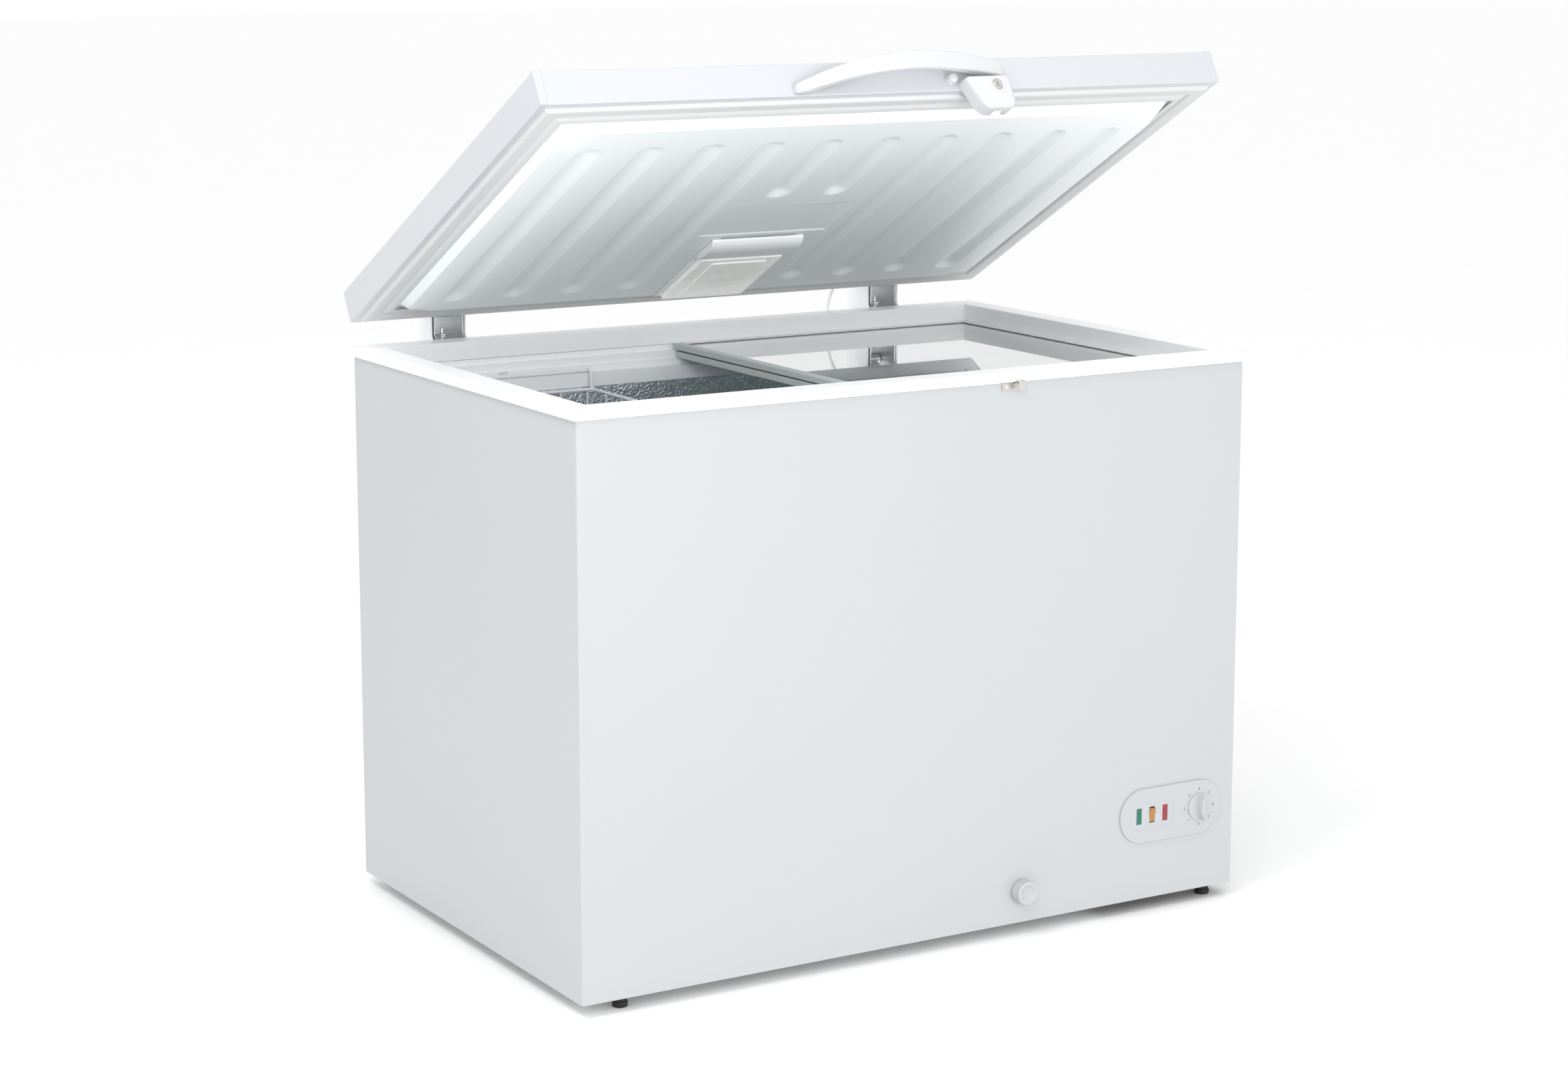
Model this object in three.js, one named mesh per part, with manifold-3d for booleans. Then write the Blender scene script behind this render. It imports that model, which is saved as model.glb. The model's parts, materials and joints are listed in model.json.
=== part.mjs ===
// Chest freezer with a hinged lid, two sliding glass inner lids and a hanging wire basket.
// Millimetres, +Z up, +X to the right, the front faces -Y.
import * as THREE from 'three';
import { mergeVertices } from 'three/addons/utils/BufferGeometryUtils.js';
import Module from 'manifold-3d';

const wasm = await Module();
wasm.setup();

// ---- Driving dimensions -------------------------------------------------------------------
const GAP = 0.3;                 // clearance between neighbouring pieces
const SHEET = 1;                 // steel and aluminium sheet
const CORNER = 3;                // radius of the upright corners
const RIM_CORNER = 2;            // radius of the rim's outer corners

const HALF_W = 565;              // half width of the steel cabinet
const HALF_D = 370;              // half depth of the steel cabinet
const FOOT_H = 20;               // floor to the cabinet's lower edge
const RIM_TOP = 850;             // top of the plastic rim
const RIM_OVERHANG = 5;          // rim past the cabinet on every side
const RIM_LIP = 15;              // height of the rim's outer lip
const RIM_PLATE = 12.2;          // thickness of the rim's top bar
const MOUTH_X = 532;             // half width of the rim's opening
const MOUTH_Y = 333;             // half depth of the rim's opening

const TUB_X = 500;               // half width of the aluminium tub, inside
const TUB_Y = 305;               // half depth of the tub, inside
const TUB_FLOOR = 85;            // tub floor
const TUB_TOP = 767.7;           // top edge of the aluminium
const HUMP_X = 260;              // the step over the compressor starts here
const HUMP_TOP = 335;            // floor level on the step
const BAY_X = 322;               // left wall of the compressor bay
const BAY_TOP = 270;             // ceiling of the compressor bay

const UPPER_TRACK = 812;         // ledge under the upper glass lid
const LOWER_TRACK = 800;         // ledge under the lower glass lid
const BASKET_LEDGE = 790;        // ledge under the basket's hangers
const UPPER_TRACK_Y = 325;       // inner edge of each ledge, half depth
const LOWER_TRACK_Y = 318;
const RAIL_WALL = 2.7;           // thin upright wall of the rails and the rim skirt
const SKIRT_BOTTOM = 821;

const LID_HALF_W = 571;
const LID_FRONT = -376;
const LID_BACK = 375;
const LID_BOTTOM = 856;          // closed lid: lower edge of the sides
const LID_THICK = 50.5;
const LID_OPEN = 29;             // degrees the lid stands open at rest
const HINGE_Y = 429;
const HINGE_Z = 885;
const HINGE_X = 400;             // hinge centres, either side
const PANEL_FACE = 841;          // closed lid: lower face of the moulded inner panel

const DEPTH_CENTRE = 27.5;       // middle of the whole depth, lid at rest, from the cabinet's middle

// ---- Materials ------------------------------------------------------------------------------
const paint = (color, roughness, metalness = 0) =>
  new THREE.MeshStandardMaterial({ color, roughness, metalness });
const clear = (color, opacity) =>
  new THREE.MeshStandardMaterial({ color, roughness: 0.08, transparent: true, opacity });

const looks = {
  whiteSteel: () => paint(0xe9ecef, 0.35),
  whitePlastic: () => paint(0xf2f3f5, 0.4),
  lidPanel: () => paint(0xc4ccd1, 0.45),
  seal: () => paint(0xdfe1e0, 0.7),
  foam: () => paint(0xe8dcb0, 0.95),
  stucco: () => paint(0xaab4ba, 0.35, 0.9),
  zinc: () => paint(0xa9adb0, 0.35, 0.9),
  nickel: () => paint(0xc2b8ae, 0.3, 0.9),
  copper: () => paint(0xb8734a, 0.35, 0.9),
  blackMetal: () => paint(0x1b1c1e, 0.5, 0.3),
  blackPlastic: () => paint(0x202224, 0.6),
  rubber: () => paint(0x161616, 0.85),
  wire: () => paint(0xeef0f3, 0.35),
  glass: () => clear(0xdfeeea, 0.3),
  glassTrim: () => paint(0xaab1ac, 0.45),
  clearPlastic: () => clear(0xf4f6f6, 0.35),
  green: () => paint(0x008064, 0.3),
  amber: () => paint(0xc88c28, 0.3),
  red: () => paint(0xb92832, 0.3),
};

// ---- Geometry helpers -----------------------------------------------------------------------
// A closed three.js geometry as a manifold solid.
function solid(geometry) {
  const bare = geometry.clone();
  bare.deleteAttribute('normal');
  bare.deleteAttribute('uv');
  const merged = mergeVertices(bare, 1e-4);
  const vertProperties = new Float32Array(merged.attributes.position.array);
  const triVerts = new Uint32Array(merged.index.array);
  return new wasm.Manifold(new wasm.Mesh({ numProp: 3, vertProperties, triVerts }));
}

// A manifold solid as a three.js geometry.
function geometryOf(body) {
  const mesh = body.getMesh();
  const geometry = new THREE.BufferGeometry();
  geometry.setAttribute('position', new THREE.BufferAttribute(mesh.vertProperties, 3));
  geometry.setIndex(new THREE.BufferAttribute(mesh.triVerts, 1));
  geometry.computeVertexNormals();
  return geometry;
}

const union = (...bodies) => bodies.reduce((a, b) => a.add(b));
const cut = (body, ...tools) => tools.reduce((a, b) => a.subtract(b), body);

function box(x0, x1, y0, y1, z0, z1) {
  const geometry = new THREE.BoxGeometry(x1 - x0, y1 - y0, z1 - z0);
  geometry.translate((x0 + x1) / 2, (y0 + y1) / 2, (z0 + z1) / 2);
  return solid(geometry);
}

// Which way a flat outline's own axes (across, up, out) point in the model.
const ALONG_X = [[0, 1, 0], [0, 0, 1], [1, 0, 0]];
const ALONG_Y = [[0, 0, 1], [1, 0, 0], [0, 1, 0]];
const ALONG_Z = [[1, 0, 0], [0, 1, 0], [0, 0, 1]];

function turned(geometry, axes) {
  const [across, up, out] = axes.map((axis) => new THREE.Vector3(...axis));
  return geometry.applyMatrix4(new THREE.Matrix4().makeBasis(across, up, out));
}

// Outline extruded from `from` to `to`. Outlines are (y, z) along X, (z, x) along Y, (x, y) along Z.
function prism(shape, axes, from, to, curveSegments = 4) {
  const geometry = new THREE.ExtrudeGeometry(shape, {
    depth: to - from, bevelEnabled: false, curveSegments,
  });
  geometry.translate(0, 0, from);
  return solid(turned(geometry, axes));
}

const outline = (points) => new THREE.Shape(points.map(([a, b]) => new THREE.Vector2(a, b)));

function roundedRect(x0, x1, y0, y1, r) {
  const shape = new THREE.Shape();
  shape.absarc(x1 - r, y1 - r, r, 0, Math.PI / 2);
  shape.absarc(x0 + r, y1 - r, r, Math.PI / 2, Math.PI);
  shape.absarc(x0 + r, y0 + r, r, Math.PI, 1.5 * Math.PI);
  shape.absarc(x1 - r, y0 + r, r, 1.5 * Math.PI, 2 * Math.PI);
  shape.closePath();
  return shape;
}

// Upright ring between two rectangles, the outer one with rounded corners.
function ring(outer, inner, z0, z1, outerR = CORNER, innerR = 0) {
  const hole = innerR > 0
    ? prism(roundedRect(...inner, innerR), ALONG_Z, z0 - 1, z1 + 1, 3)
    : box(...inner, z0 - 1, z1 + 1);
  return cut(prism(roundedRect(...outer, outerR), ALONG_Z, z0, z1, 3), hole);
}

const grown = ([x0, x1, y0, y1], by) => [x0 - by, x1 + by, y0 - by, y1 + by];

// Solid of revolution; the profile is (radius, height along the axis), the centre is a point on it.
function lathe(profile, axes, centre, segments = 24) {
  const points = profile.map(([r, h]) => new THREE.Vector2(r, h));
  const geometry = new THREE.LatheGeometry(points, segments);
  geometry.rotateX(Math.PI / 2);
  geometry.scale(1, -1, 1);
  const index = geometry.index.array;
  for (let i = 0; i < index.length; i += 3) {
    [index[i], index[i + 1]] = [index[i + 1], index[i]];
  }
  const body = turned(geometry, axes);
  body.translate(...centre);
  const made = solid(body);
  return made.volume() < 0 ? solid(flipped(body)) : made;
}

function flipped(geometry) {
  const copy = geometry.clone();
  const index = copy.index.array;
  for (let i = 0; i < index.length; i += 3) {
    [index[i], index[i + 1]] = [index[i + 1], index[i]];
  }
  return copy;
}

const rod = (axes, centre, r, from, to, segments = 16) =>
  lathe([[0, from], [r, from], [r, to], [0, to]], axes, centre, segments);

// Solid skinned over sections with the same number of corners, each a closed convex loop.
function loft(sections) {
  const n = sections[0].length;
  const index = [];
  for (let s = 0; s + 1 < sections.length; s += 1) {
    for (let i = 0; i < n; i += 1) {
      const a = s * n + i;
      const b = s * n + ((i + 1) % n);
      index.push(a, b, b + n, a, b + n, a + n);
    }
  }
  const last = (sections.length - 1) * n;
  for (let i = 1; i + 1 < n; i += 1) {
    index.push(0, i + 1, i, last, last + i, last + i + 1);
  }
  const geometry = new THREE.BufferGeometry();
  geometry.setAttribute('position', new THREE.Float32BufferAttribute(sections.flat(2), 3));
  geometry.setIndex(index);
  const made = solid(geometry);
  return made.volume() < 0 ? solid(flipped(geometry)) : made;
}

// Round tube along a smooth path.
function tube(points, r, steps, sides = 8) {
  const section = new THREE.Shape();
  for (let i = 0; i < sides; i += 1) {
    const a = (2 * Math.PI * i) / sides;
    const place = i === 0 ? 'moveTo' : 'lineTo';
    section[place](r * Math.cos(a), r * Math.sin(a));
  }
  const path = new THREE.CatmullRomCurve3(points.map((p) => new THREE.Vector3(...p)));
  return solid(new THREE.ExtrudeGeometry(section, { extrudePath: path, steps, bevelEnabled: false }));
}

// Straight wire between two points, a little longer than the span so that wires knit together.
function wire(p, q, r, sides = 6) {
  const a = new THREE.Vector3(...p);
  const b = new THREE.Vector3(...q);
  const geometry = new THREE.CylinderGeometry(r, r, a.distanceTo(b) + 2 * r, sides);
  const turn = new THREE.Quaternion().setFromUnitVectors(
    new THREE.Vector3(0, 1, 0), b.clone().sub(a).normalize());
  geometry.applyQuaternion(turn);
  geometry.translate(...a.add(b).multiplyScalar(0.5).toArray());
  return solid(geometry);
}

function mesh(parent, name, body, material) {
  const part = new THREE.Mesh(geometryOf(body), material);
  part.name = name;
  parent.add(part);
}

// ---- Cabinet ----------------------------------------------------------------------------------
const CABINET = [-HALF_W, HALF_W, -HALF_D, HALF_D];
const SHELL_INSIDE = grown(CABINET, -SHEET);
const FOAM_OUTSIDE = grown(SHELL_INSIDE, -GAP);
const SHELL_TOP = RIM_TOP - RIM_PLATE - GAP;

const PANEL = { x0: 348, x1: 538, z0: 109, z1: 193, knobX: 497, z: 151, lensX: 408, pitch: 24.5 };
const PANEL_BACK = [366, 520, 124, 180];             // x0, x1, z0, z1 of the box behind the fascia
const REAR_OPENING = [362, 550, 40, 250];            // x0, x1, z0, z1
const DRAIN = { x: 168, z: 69, r: 10, wellY: -290 };
const CATCH = { x0: 123, x1: 153, hookX: 143, z: 828.5, screwX: 130.4 };
const GLAND = { x: 334, z: 60 };

const screwBore = () => rod(ALONG_Y, [CATCH.screwX, 0, CATCH.z], 2.1, -HALF_D - 5, -HALF_D + 8, 10);

function drainTube(extra = 0) {
  const seat = rod(ALONG_Y, [DRAIN.x, 0, DRAIN.z], 16, -HALF_D - 3, -HALF_D - GAP, 20);
  const pipe = rod(ALONG_Y, [DRAIN.x, 0, DRAIN.z], DRAIN.r + extra, -HALF_D - 14, DRAIN.wellY + 11, 16);
  const well = rod(ALONG_Z, [DRAIN.x, DRAIN.wellY, 0], 8.7 + extra, DRAIN.z, TUB_FLOOR + extra, 16);
  return union(seat, pipe, well);
}

function drainBore() {
  const pipe = rod(ALONG_Y, [DRAIN.x, 0, DRAIN.z], 7, -HALF_D - 20, DRAIN.wellY + 6, 12);
  const well = rod(ALONG_Z, [DRAIN.x, DRAIN.wellY, 0], 6, DRAIN.z, TUB_FLOOR + 5, 12);
  return union(pipe, well);
}

function outerShell() {
  const [bx0, bx1, bz0, bz1] = PANEL_BACK;
  const [rx0, rx1, rz0, rz1] = REAR_OPENING;
  return cut(
    ring(CABINET, SHELL_INSIDE, FOOT_H, SHELL_TOP, CORNER, CORNER - SHEET),
    box(bx0 - 2, bx1 + 2, -HALF_D - 5, -HALF_D + 5, bz0 - 2, bz1 + 2),
    rod(ALONG_Y, [DRAIN.x, 0, DRAIN.z], DRAIN.r + GAP, -HALF_D - 5, -HALF_D + 5, 16),
    box(rx0, rx1, HALF_D - 5, HALF_D + 5, rz0, rz1),
    rod(ALONG_Y, [GLAND.x, 0, GLAND.z], 7, HALF_D - 5, HALF_D + 5),
    screwBore(),
  );
}

// Bottom sheet between two stations across the cabinet.
const floorPlate = (x0, x1, thick) => prism(roundedRect(...FOAM_OUTSIDE, CORNER - SHEET), ALONG_Z,
  FOOT_H + GAP, FOOT_H + GAP + thick, 3).intersect(box(x0, x1, -HALF_D, HALF_D, 0, 50));

// Step-shaped inside of the tub, cut along the depth.
function tubSpace(by, top) {
  const profile = outline([
    [TUB_FLOOR - by, -TUB_X - by], [TUB_FLOOR - by, HUMP_X + by], [HUMP_TOP - by, HUMP_X + by],
    [HUMP_TOP - by, TUB_X + by], [top, TUB_X + by], [top, -TUB_X - by],
  ]);
  return prism(profile, ALONG_Y, -TUB_Y - by, TUB_Y + by);
}

// Square-section evaporator loops wound round the tub, joined at the right-hand end.
const COIL = { levels: [430, 510, 590, 670], size: 8, jumpY: 200 };

function evaporator(extra = 0) {
  const inside = [-TUB_X, TUB_X, -TUB_Y, TUB_Y].map((v) => v + Math.sign(v) * (SHEET + 2 * GAP));
  const outside = grown(inside, COIL.size);
  const loops = COIL.levels.map((z) => ring(
    grown(outside, extra), grown(inside, -extra), z - extra, z + COIL.size + extra, 2));
  const jumps = COIL.levels.slice(1).map((z, i) => box(
    inside[1] - extra, outside[1] + extra, COIL.jumpY - 40 * i - extra,
    COIL.jumpY - 40 * i + COIL.size + extra, COIL.levels[i] - extra, z + COIL.size + extra));
  return union(...loops, ...jumps);
}

function foamTub() {
  const under = FOOT_H + 2 * GAP + SHEET;
  return cut(
    prism(roundedRect(...FOAM_OUTSIDE, CORNER - SHEET), ALONG_Z, under, SHELL_TOP, 3),
    tubSpace(SHEET + GAP, RIM_TOP),
    box(-MOUTH_X - 4, MOUTH_X + 4, -MOUTH_Y - 3, MOUTH_Y + 3, TUB_TOP, RIM_TOP),
    box(BAY_X, HALF_W, -HALF_D, HALF_D, 0, BAY_TOP),
    evaporator(GAP),
    drainTube(GAP),
    screwBore(),
  );
}

function innerLiner() {
  return cut(
    tubSpace(SHEET, TUB_TOP),
    tubSpace(0, RIM_TOP),
    rod(ALONG_Z, [DRAIN.x, DRAIN.wellY, 0], 9, TUB_FLOOR - 5, TUB_FLOOR + 5, 16),
  );
}

function rim() {
  const outside = grown(CABINET, RIM_OVERHANG);
  const mouth = [-MOUTH_X, MOUTH_X, -MOUTH_Y, MOUTH_Y];
  const bar = RIM_TOP - RIM_PLATE;
  return union(
    ring(outside, mouth, bar, RIM_TOP, RIM_CORNER),
    ring(outside, grown(CABINET, GAP), RIM_TOP - RIM_LIP, bar + 1, RIM_CORNER, CORNER),
    ring(grown(mouth, RAIL_WALL), mouth, SKIRT_BOTTOM, bar + 1, 1),
  );
}

// Stepped ledges for the two glass lids and the basket, front and rear, with plain end pieces.
function railFrame() {
  const back = MOUTH_Y + RAIL_WALL;
  const top = SKIRT_BOTTOM - GAP;
  const foot = TUB_TOP + GAP;
  const steps = [
    [TUB_Y, foot], [back, foot], [back, top], [MOUTH_Y, top], [MOUTH_Y, UPPER_TRACK],
    [UPPER_TRACK_Y, UPPER_TRACK], [UPPER_TRACK_Y, LOWER_TRACK], [LOWER_TRACK_Y, LOWER_TRACK],
    [LOWER_TRACK_Y, BASKET_LEDGE], [TUB_Y, BASKET_LEDGE],
  ];
  const mirrored = steps.map(([y, z]) => [-y, z]).reverse();
  const length = MOUTH_X + RAIL_WALL;
  const endTop = LOWER_TRACK - 3;
  const end = [[foot, TUB_X], [foot, length], [top, length], [top, MOUTH_X], [endTop, MOUTH_X],
    [endTop, TUB_X]];
  const endMirrored = end.map(([z, x]) => [z, -x]).reverse();
  return union(
    prism(outline(steps), ALONG_X, -length, length),
    prism(outline(mirrored), ALONG_X, -length, length),
    prism(outline(end), ALONG_Y, -TUB_Y - 1, TUB_Y + 1),
    prism(outline(endMirrored), ALONG_Y, -TUB_Y - 1, TUB_Y + 1),
  );
}

function drainCap() {
  const seat = -HALF_D - 3 - GAP;
  const face = -HALF_D - 20;
  return lathe([
    [0, face + 3], [11, face + 3], [13, face], [17, face], [18, face + 1.5], [18, seat],
    [DRAIN.r + 0.6, seat], [DRAIN.r + 0.6, face + 5.5], [0, face + 5.5],
  ], ALONG_Y, [DRAIN.x, 0, DRAIN.z], 18);
}

// Keeper under the rim's lip: a screwed plate whose right end folds out, over and down.
function lockCatch() {
  const y = -HALF_D - GAP;
  const plate = box(CATCH.x0, CATCH.x1, y - 2, y, CATCH.z - 5.5, CATCH.z + 5.5);
  const hook = outline([
    [y, 823], [y - 2, 823], [y - 2, 829.5], [-377.5, 833], [-377.5, 837], [-384, 837],
    [-384, 823.6], [-386, 823.6], [-386, 837.5], [-384.5, 839], [-377, 839], [-375.6, 837.5],
    [-375.6, 834.2], [-372, 831.8], [y, 831.8],
  ].reverse());
  return cut(union(plate, prism(hook, ALONG_X, CATCH.hookX, CATCH.x1)), screwBore());
}

function catchScrew() {
  const seat = -HALF_D - 2 - 2 * GAP;
  return cut(
    lathe([[0, seat - 2], [2, seat - 2], [3.3, seat - 0.8], [3.3, seat], [1.8, seat],
      [1.8, seat + 9], [0, seat + 9]], ALONG_Y, [CATCH.screwX, 0, CATCH.z], 14),
    box(CATCH.screwX - 0.4, CATCH.screwX + 0.4, seat - 3, seat - 1, CATCH.z - 2, CATCH.z + 2),
  );
}

function foot(x, y) {
  return rod(ALONG_Z, [x, y, 0], 11, 0, FOOT_H - GAP, 20);
}

// ---- Control panel ------------------------------------------------------------------------------
const LENS = { w: 9.2, h: 24.4 };

function controlPanel() {
  const r = (PANEL.z1 - PANEL.z0) / 2;
  const front = -HALF_D - 3;
  const back = -HALF_D - GAP;
  const [bx0, bx1, bz0, bz1] = PANEL_BACK;
  const fascia = prism(roundedRect(PANEL.z0, PANEL.z1, PANEL.x0, PANEL.x1, r - 0.01),
    ALONG_Y, front, back, 10);
  const collar = cut(box(bx0, bx1, back - 1, -HALF_D + 20, bz0, bz1),
    box(bx0 + 2, bx1 - 2, back, -HALF_D + 30, bz0 + 2, bz1 - 2));
  const inset = prism(roundedRect(PANEL.z - 21, PANEL.z + 21, PANEL.lensX - 41, PANEL.lensX + 41, 10),
    ALONG_Y, front - 1, front + 0.5, 4);
  const windows = [-1, 0, 1].map((i) => {
    const x = PANEL.lensX + i * PANEL.pitch;
    return box(x - 4.9, x + 4.9, front - 5, back + 5, PANEL.z - 12.5, PANEL.z + 12.5);
  });
  const shaft = rod(ALONG_Y, [PANEL.knobX, 0, PANEL.z], 4, front - 5, back + 5);
  return cut(union(fascia, collar), inset, shaft, ...windows);
}

function lens(side) {
  const x = PANEL.lensX + side * PANEL.pitch;
  return box(x - LENS.w / 2, x + LENS.w / 2, -HALF_D - 2, -HALF_D + 14,
    PANEL.z - LENS.h / 2, PANEL.z + LENS.h / 2);
}

// Rocker drawn level about its pivot at (0, 0): a shallow V face with a narrower back.
const ROCKER = { tilt: 8, y: -HALF_D, h: 11.2, face: -3, back: 8 };

function rocker() {
  const { h, face, back } = ROCKER;
  const body = outline([[face, -h], [face, h], [face + 2, h], [back, 6], [back, -6], [face + 2, -h]]);
  const raised = outline([[face, -h], [face, h], [face - 1.2, h]]);
  return union(...[body, raised].map((side) => prism(side, ALONG_X, -LENS.w / 2, LENS.w / 2)));
}

// Disc, shaft and a lens-shaped finger grip, about the knob's own axis.
function knob() {
  const face = -HALF_D - 3 - GAP;
  const body = lathe([[0, face - 2.5], [20.2, face - 2.5], [21, face - 1.7], [21, face], [3.6, face],
    [3.6, -HALF_D + 1.7], [0, -HALF_D + 1.7]], ALONG_Y, [PANEL.knobX, 0, PANEL.z], 24);
  const grip = (y, halfLength, halfWidth) => {
    const points = [];
    for (let i = 0; i < 16; i += 1) {
      const a = (2 * Math.PI * i) / 16;
      const along = Math.cos(a);
      points.push([PANEL.knobX + halfWidth * Math.sign(Math.sin(a)) * (1 - along ** 2) + 1e-4 * Math.sin(a),
        y, PANEL.z + halfLength * along]);
    }
    return points;
  };
  return body.add(loft([grip(face - 1, 20, 5), grip(face - 12, 19, 3.6), grip(face - 14, 17, 2.4)]));
}

// ---- Compressor bay -------------------------------------------------------------------------------
const MOTOR = { x: 445, y: 190, r: 72, z0: 38.3, z1: 215 };
const MOTOR_FEET = [[-72, -58], [72, -58], [-72, 58], [72, 58]];

function compressor() {
  const { x, y, r, z0, z1 } = MOTOR;
  const dome = (radius, low, high) => lathe([
    [0, low], [radius, low], [radius, high - 0.55 * radius], [0.92 * radius, high - 0.3 * radius],
    [0.68 * radius, high - 0.1 * radius], [0.3 * radius, high], [0, high],
  ], ALONG_Z, [x, y, 0], 20);
  const flange = box(x - 84, x + 84, y - 70, y + 70, z0, z0 + 3);
  const seam = lathe([[0, 128], [r + 3, 128], [r + 3, 132], [0, 132]], ALONG_Z, [x, y, 0], 20);
  return cut(union(dome(r, z0, z1), flange, seam), dome(r - 8, z0 - 5, z1 - 8));
}

const relayBox = () => box(
  MOTOR.x - 30, MOTOR.x + 30, MOTOR.y - MOTOR.r - 33, MOTOR.y - MOTOR.r - 4, 84, 150);

const grommet = (dx, dy) => rod(ALONG_Z, [MOTOR.x + dx, MOTOR.y + dy, 0], 11,
  FOOT_H + 2 + 2 * GAP, MOTOR.z0 - GAP, 12);

const drier = () => lathe([[0, 90], [3, 90], [9, 100], [9, 185], [3, 195], [0, 195]],
  ALONG_Z, [540, 40, 0], 14);

const dischargePipe = () => tube(
  [[540, 40, 195.4], [540, 40, 222], [534, 80, 238], [510, 130, 242], [475, 172, 240],
    [455, 188, 230], [452, 190, 222], [452, 190, MOTOR.z1 + 2 * GAP]], 3, 16);

function rearGrille() {
  const [x0, x1, z0, z1] = REAR_OPENING;
  const plate = box(x0 - 5, x1 + 5, HALF_D + GAP, HALF_D + 2, z0 - 5, z1 + 5);
  const slots = [];
  for (let z = z0 + 14; z < z1 - 14; z += 20) {
    slots.push(box(x0 + 16, x1 - 16, HALF_D - 1, HALF_D + 5, z, z + 9));
  }
  return cut(plate, ...slots);
}

const cordGland = () => lathe([[4, HALF_D - 8], [6.7, HALF_D - 8], [6.7, HALF_D + GAP],
  [11, HALF_D + GAP], [11, HALF_D + 3], [8, HALF_D + 9], [4, HALF_D + 9], [4, HALF_D - 8]],
ALONG_Y, [GLAND.x, 0, GLAND.z], 16);

// ---- Lid, drawn closed --------------------------------------------------------------------------
const LID_TOP = LID_BOTTOM + LID_THICK;
const LID = [-LID_HALF_W, LID_HALF_W, LID_FRONT, LID_BACK];
const RETURN_W = 12;              // inward return along the lid's lower edge
const FLANGE_Z = LID_BOTTOM + SHEET + GAP;
const PLUG_X = 524;               // moulded plug where it leaves the flange, half width and depth
const PLUG_Y = 325;
const PLUG_SLOPE = 16;            // how far the plug narrows down to its face
const PLUG_CHAMFER = 14;
const RIBS = { pitch: 98.8, count: 10, front: -258, back: 277, shortBack: -56, r: 22, depth: 7 };
const RECESS = [-113, 113, -24, 78];
const LAMP = { halfW: 81, front: 91, back: 307, bar: 152 };
const LAMP_HOLE = [-68, 68, 100, 298];

const END_FOLD = { width: 12, proud: 1 };   // the end sheets fold round onto the front

function lidSkin() {
  const { width, proud } = END_FOLD;
  const folds = [-LID_HALF_W, LID_HALF_W - width].map((x0) => box(
    x0, x0 + width, LID_FRONT - proud, LID_FRONT + SHEET, LID_BOTTOM + SHEET, LID_TOP - SHEET));
  return cut(
    union(prism(roundedRect(...LID, CORNER), ALONG_Z, LID_BOTTOM, LID_TOP, 3), ...folds),
    prism(roundedRect(...grown(LID, -SHEET), CORNER - SHEET), ALONG_Z,
      LID_BOTTOM + SHEET, LID_TOP - SHEET, 3),
    box(...grown(LID, -RETURN_W), LID_BOTTOM - 1, LID_BOTTOM + 2 * SHEET),
  );
}

// Eight-cornered loop of the plug at a height, drawn in by a distance.
function plugLoop(z, inset) {
  const x = PLUG_X - inset;
  const y = PLUG_Y - inset;
  const c = PLUG_CHAMFER;
  return [[x, y - c], [x - c, y], [-x + c, y], [-x, y - c], [-x, -y + c], [-x + c, -y], [x - c, -y],
    [x, -y + c]].map(([px, py]) => [px, py, z]);
}

// Round-ended groove with a half-elliptic section, grown by a wall thickness.
function ribs(grow) {
  const made = [];
  for (let i = 0; i < RIBS.count; i += 1) {
    const x = (i - (RIBS.count - 1) / 2) * RIBS.pitch;
    const back = Math.abs(x) < RIBS.pitch ? RIBS.shortBack : RIBS.back;
    const r = RIBS.r + grow;
    const straight = back - RIBS.front - 2 * RIBS.r;
    const groove = new THREE.CapsuleGeometry(r, straight, 2, 10);
    groove.scale(1, 1, (RIBS.depth + grow) / r);
    groove.translate(x, (back + RIBS.front) / 2, PANEL_FACE);
    made.push(solid(groove));
  }
  return union(...made);
}

function lidInnerPanel() {
  const wall = 2;
  const flange = prism(roundedRect(...grown(LID, -SHEET - 2 * GAP), CORNER - SHEET), ALONG_Z,
    FLANGE_Z, FLANGE_Z + wall, 3);
  const plug = loft([plugLoop(PANEL_FACE, PLUG_SLOPE), plugLoop(FLANGE_Z + wall, 0)]);
  const hollow = loft([plugLoop(PANEL_FACE + wall, PLUG_SLOPE + wall),
    plugLoop(FLANGE_Z + wall + 1, wall)]);
  return cut(
    union(flange, plug),
    hollow.subtract(ribs(wall)),
    ribs(0),
    box(...RECESS, PANEL_FACE - 1, PANEL_FACE + 1.2),
    box(...LAMP_HOLE, PANEL_FACE - 1, PANEL_FACE + 4),
  );
}

function lidFoam() {
  const top = FLANGE_Z + 2 + GAP;
  return cut(
    union(
      prism(roundedRect(...grown(LID, -SHEET - 2 * GAP), CORNER - SHEET), ALONG_Z,
        top, LID_TOP - SHEET - GAP, 3),
      loft([plugLoop(PANEL_FACE + 11, 14), plugLoop(top + 1, 14)]),
    ),
    box(...grown(LAMP_HOLE, 1), PANEL_FACE, 890),
  );
}

// Magnetic seal: a flat foot against the panel's flange and a softer tube that meets the rim.
const SEAL = { foot: 34, tubeFrom: 2, tubeTo: 34.8 };   // widths in from the return's edge

function lidGasket() {
  const outside = grown(LID, -RETURN_W - GAP);
  return union(
    ring(outside, grown(outside, -SEAL.foot), LID_BOTTOM - 2, FLANGE_Z - GAP, 3),
    ring(grown(outside, -SEAL.tubeFrom), grown(outside, -SEAL.tubeTo), RIM_TOP + GAP, LID_BOTTOM - 1, 3),
  );
}

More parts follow.
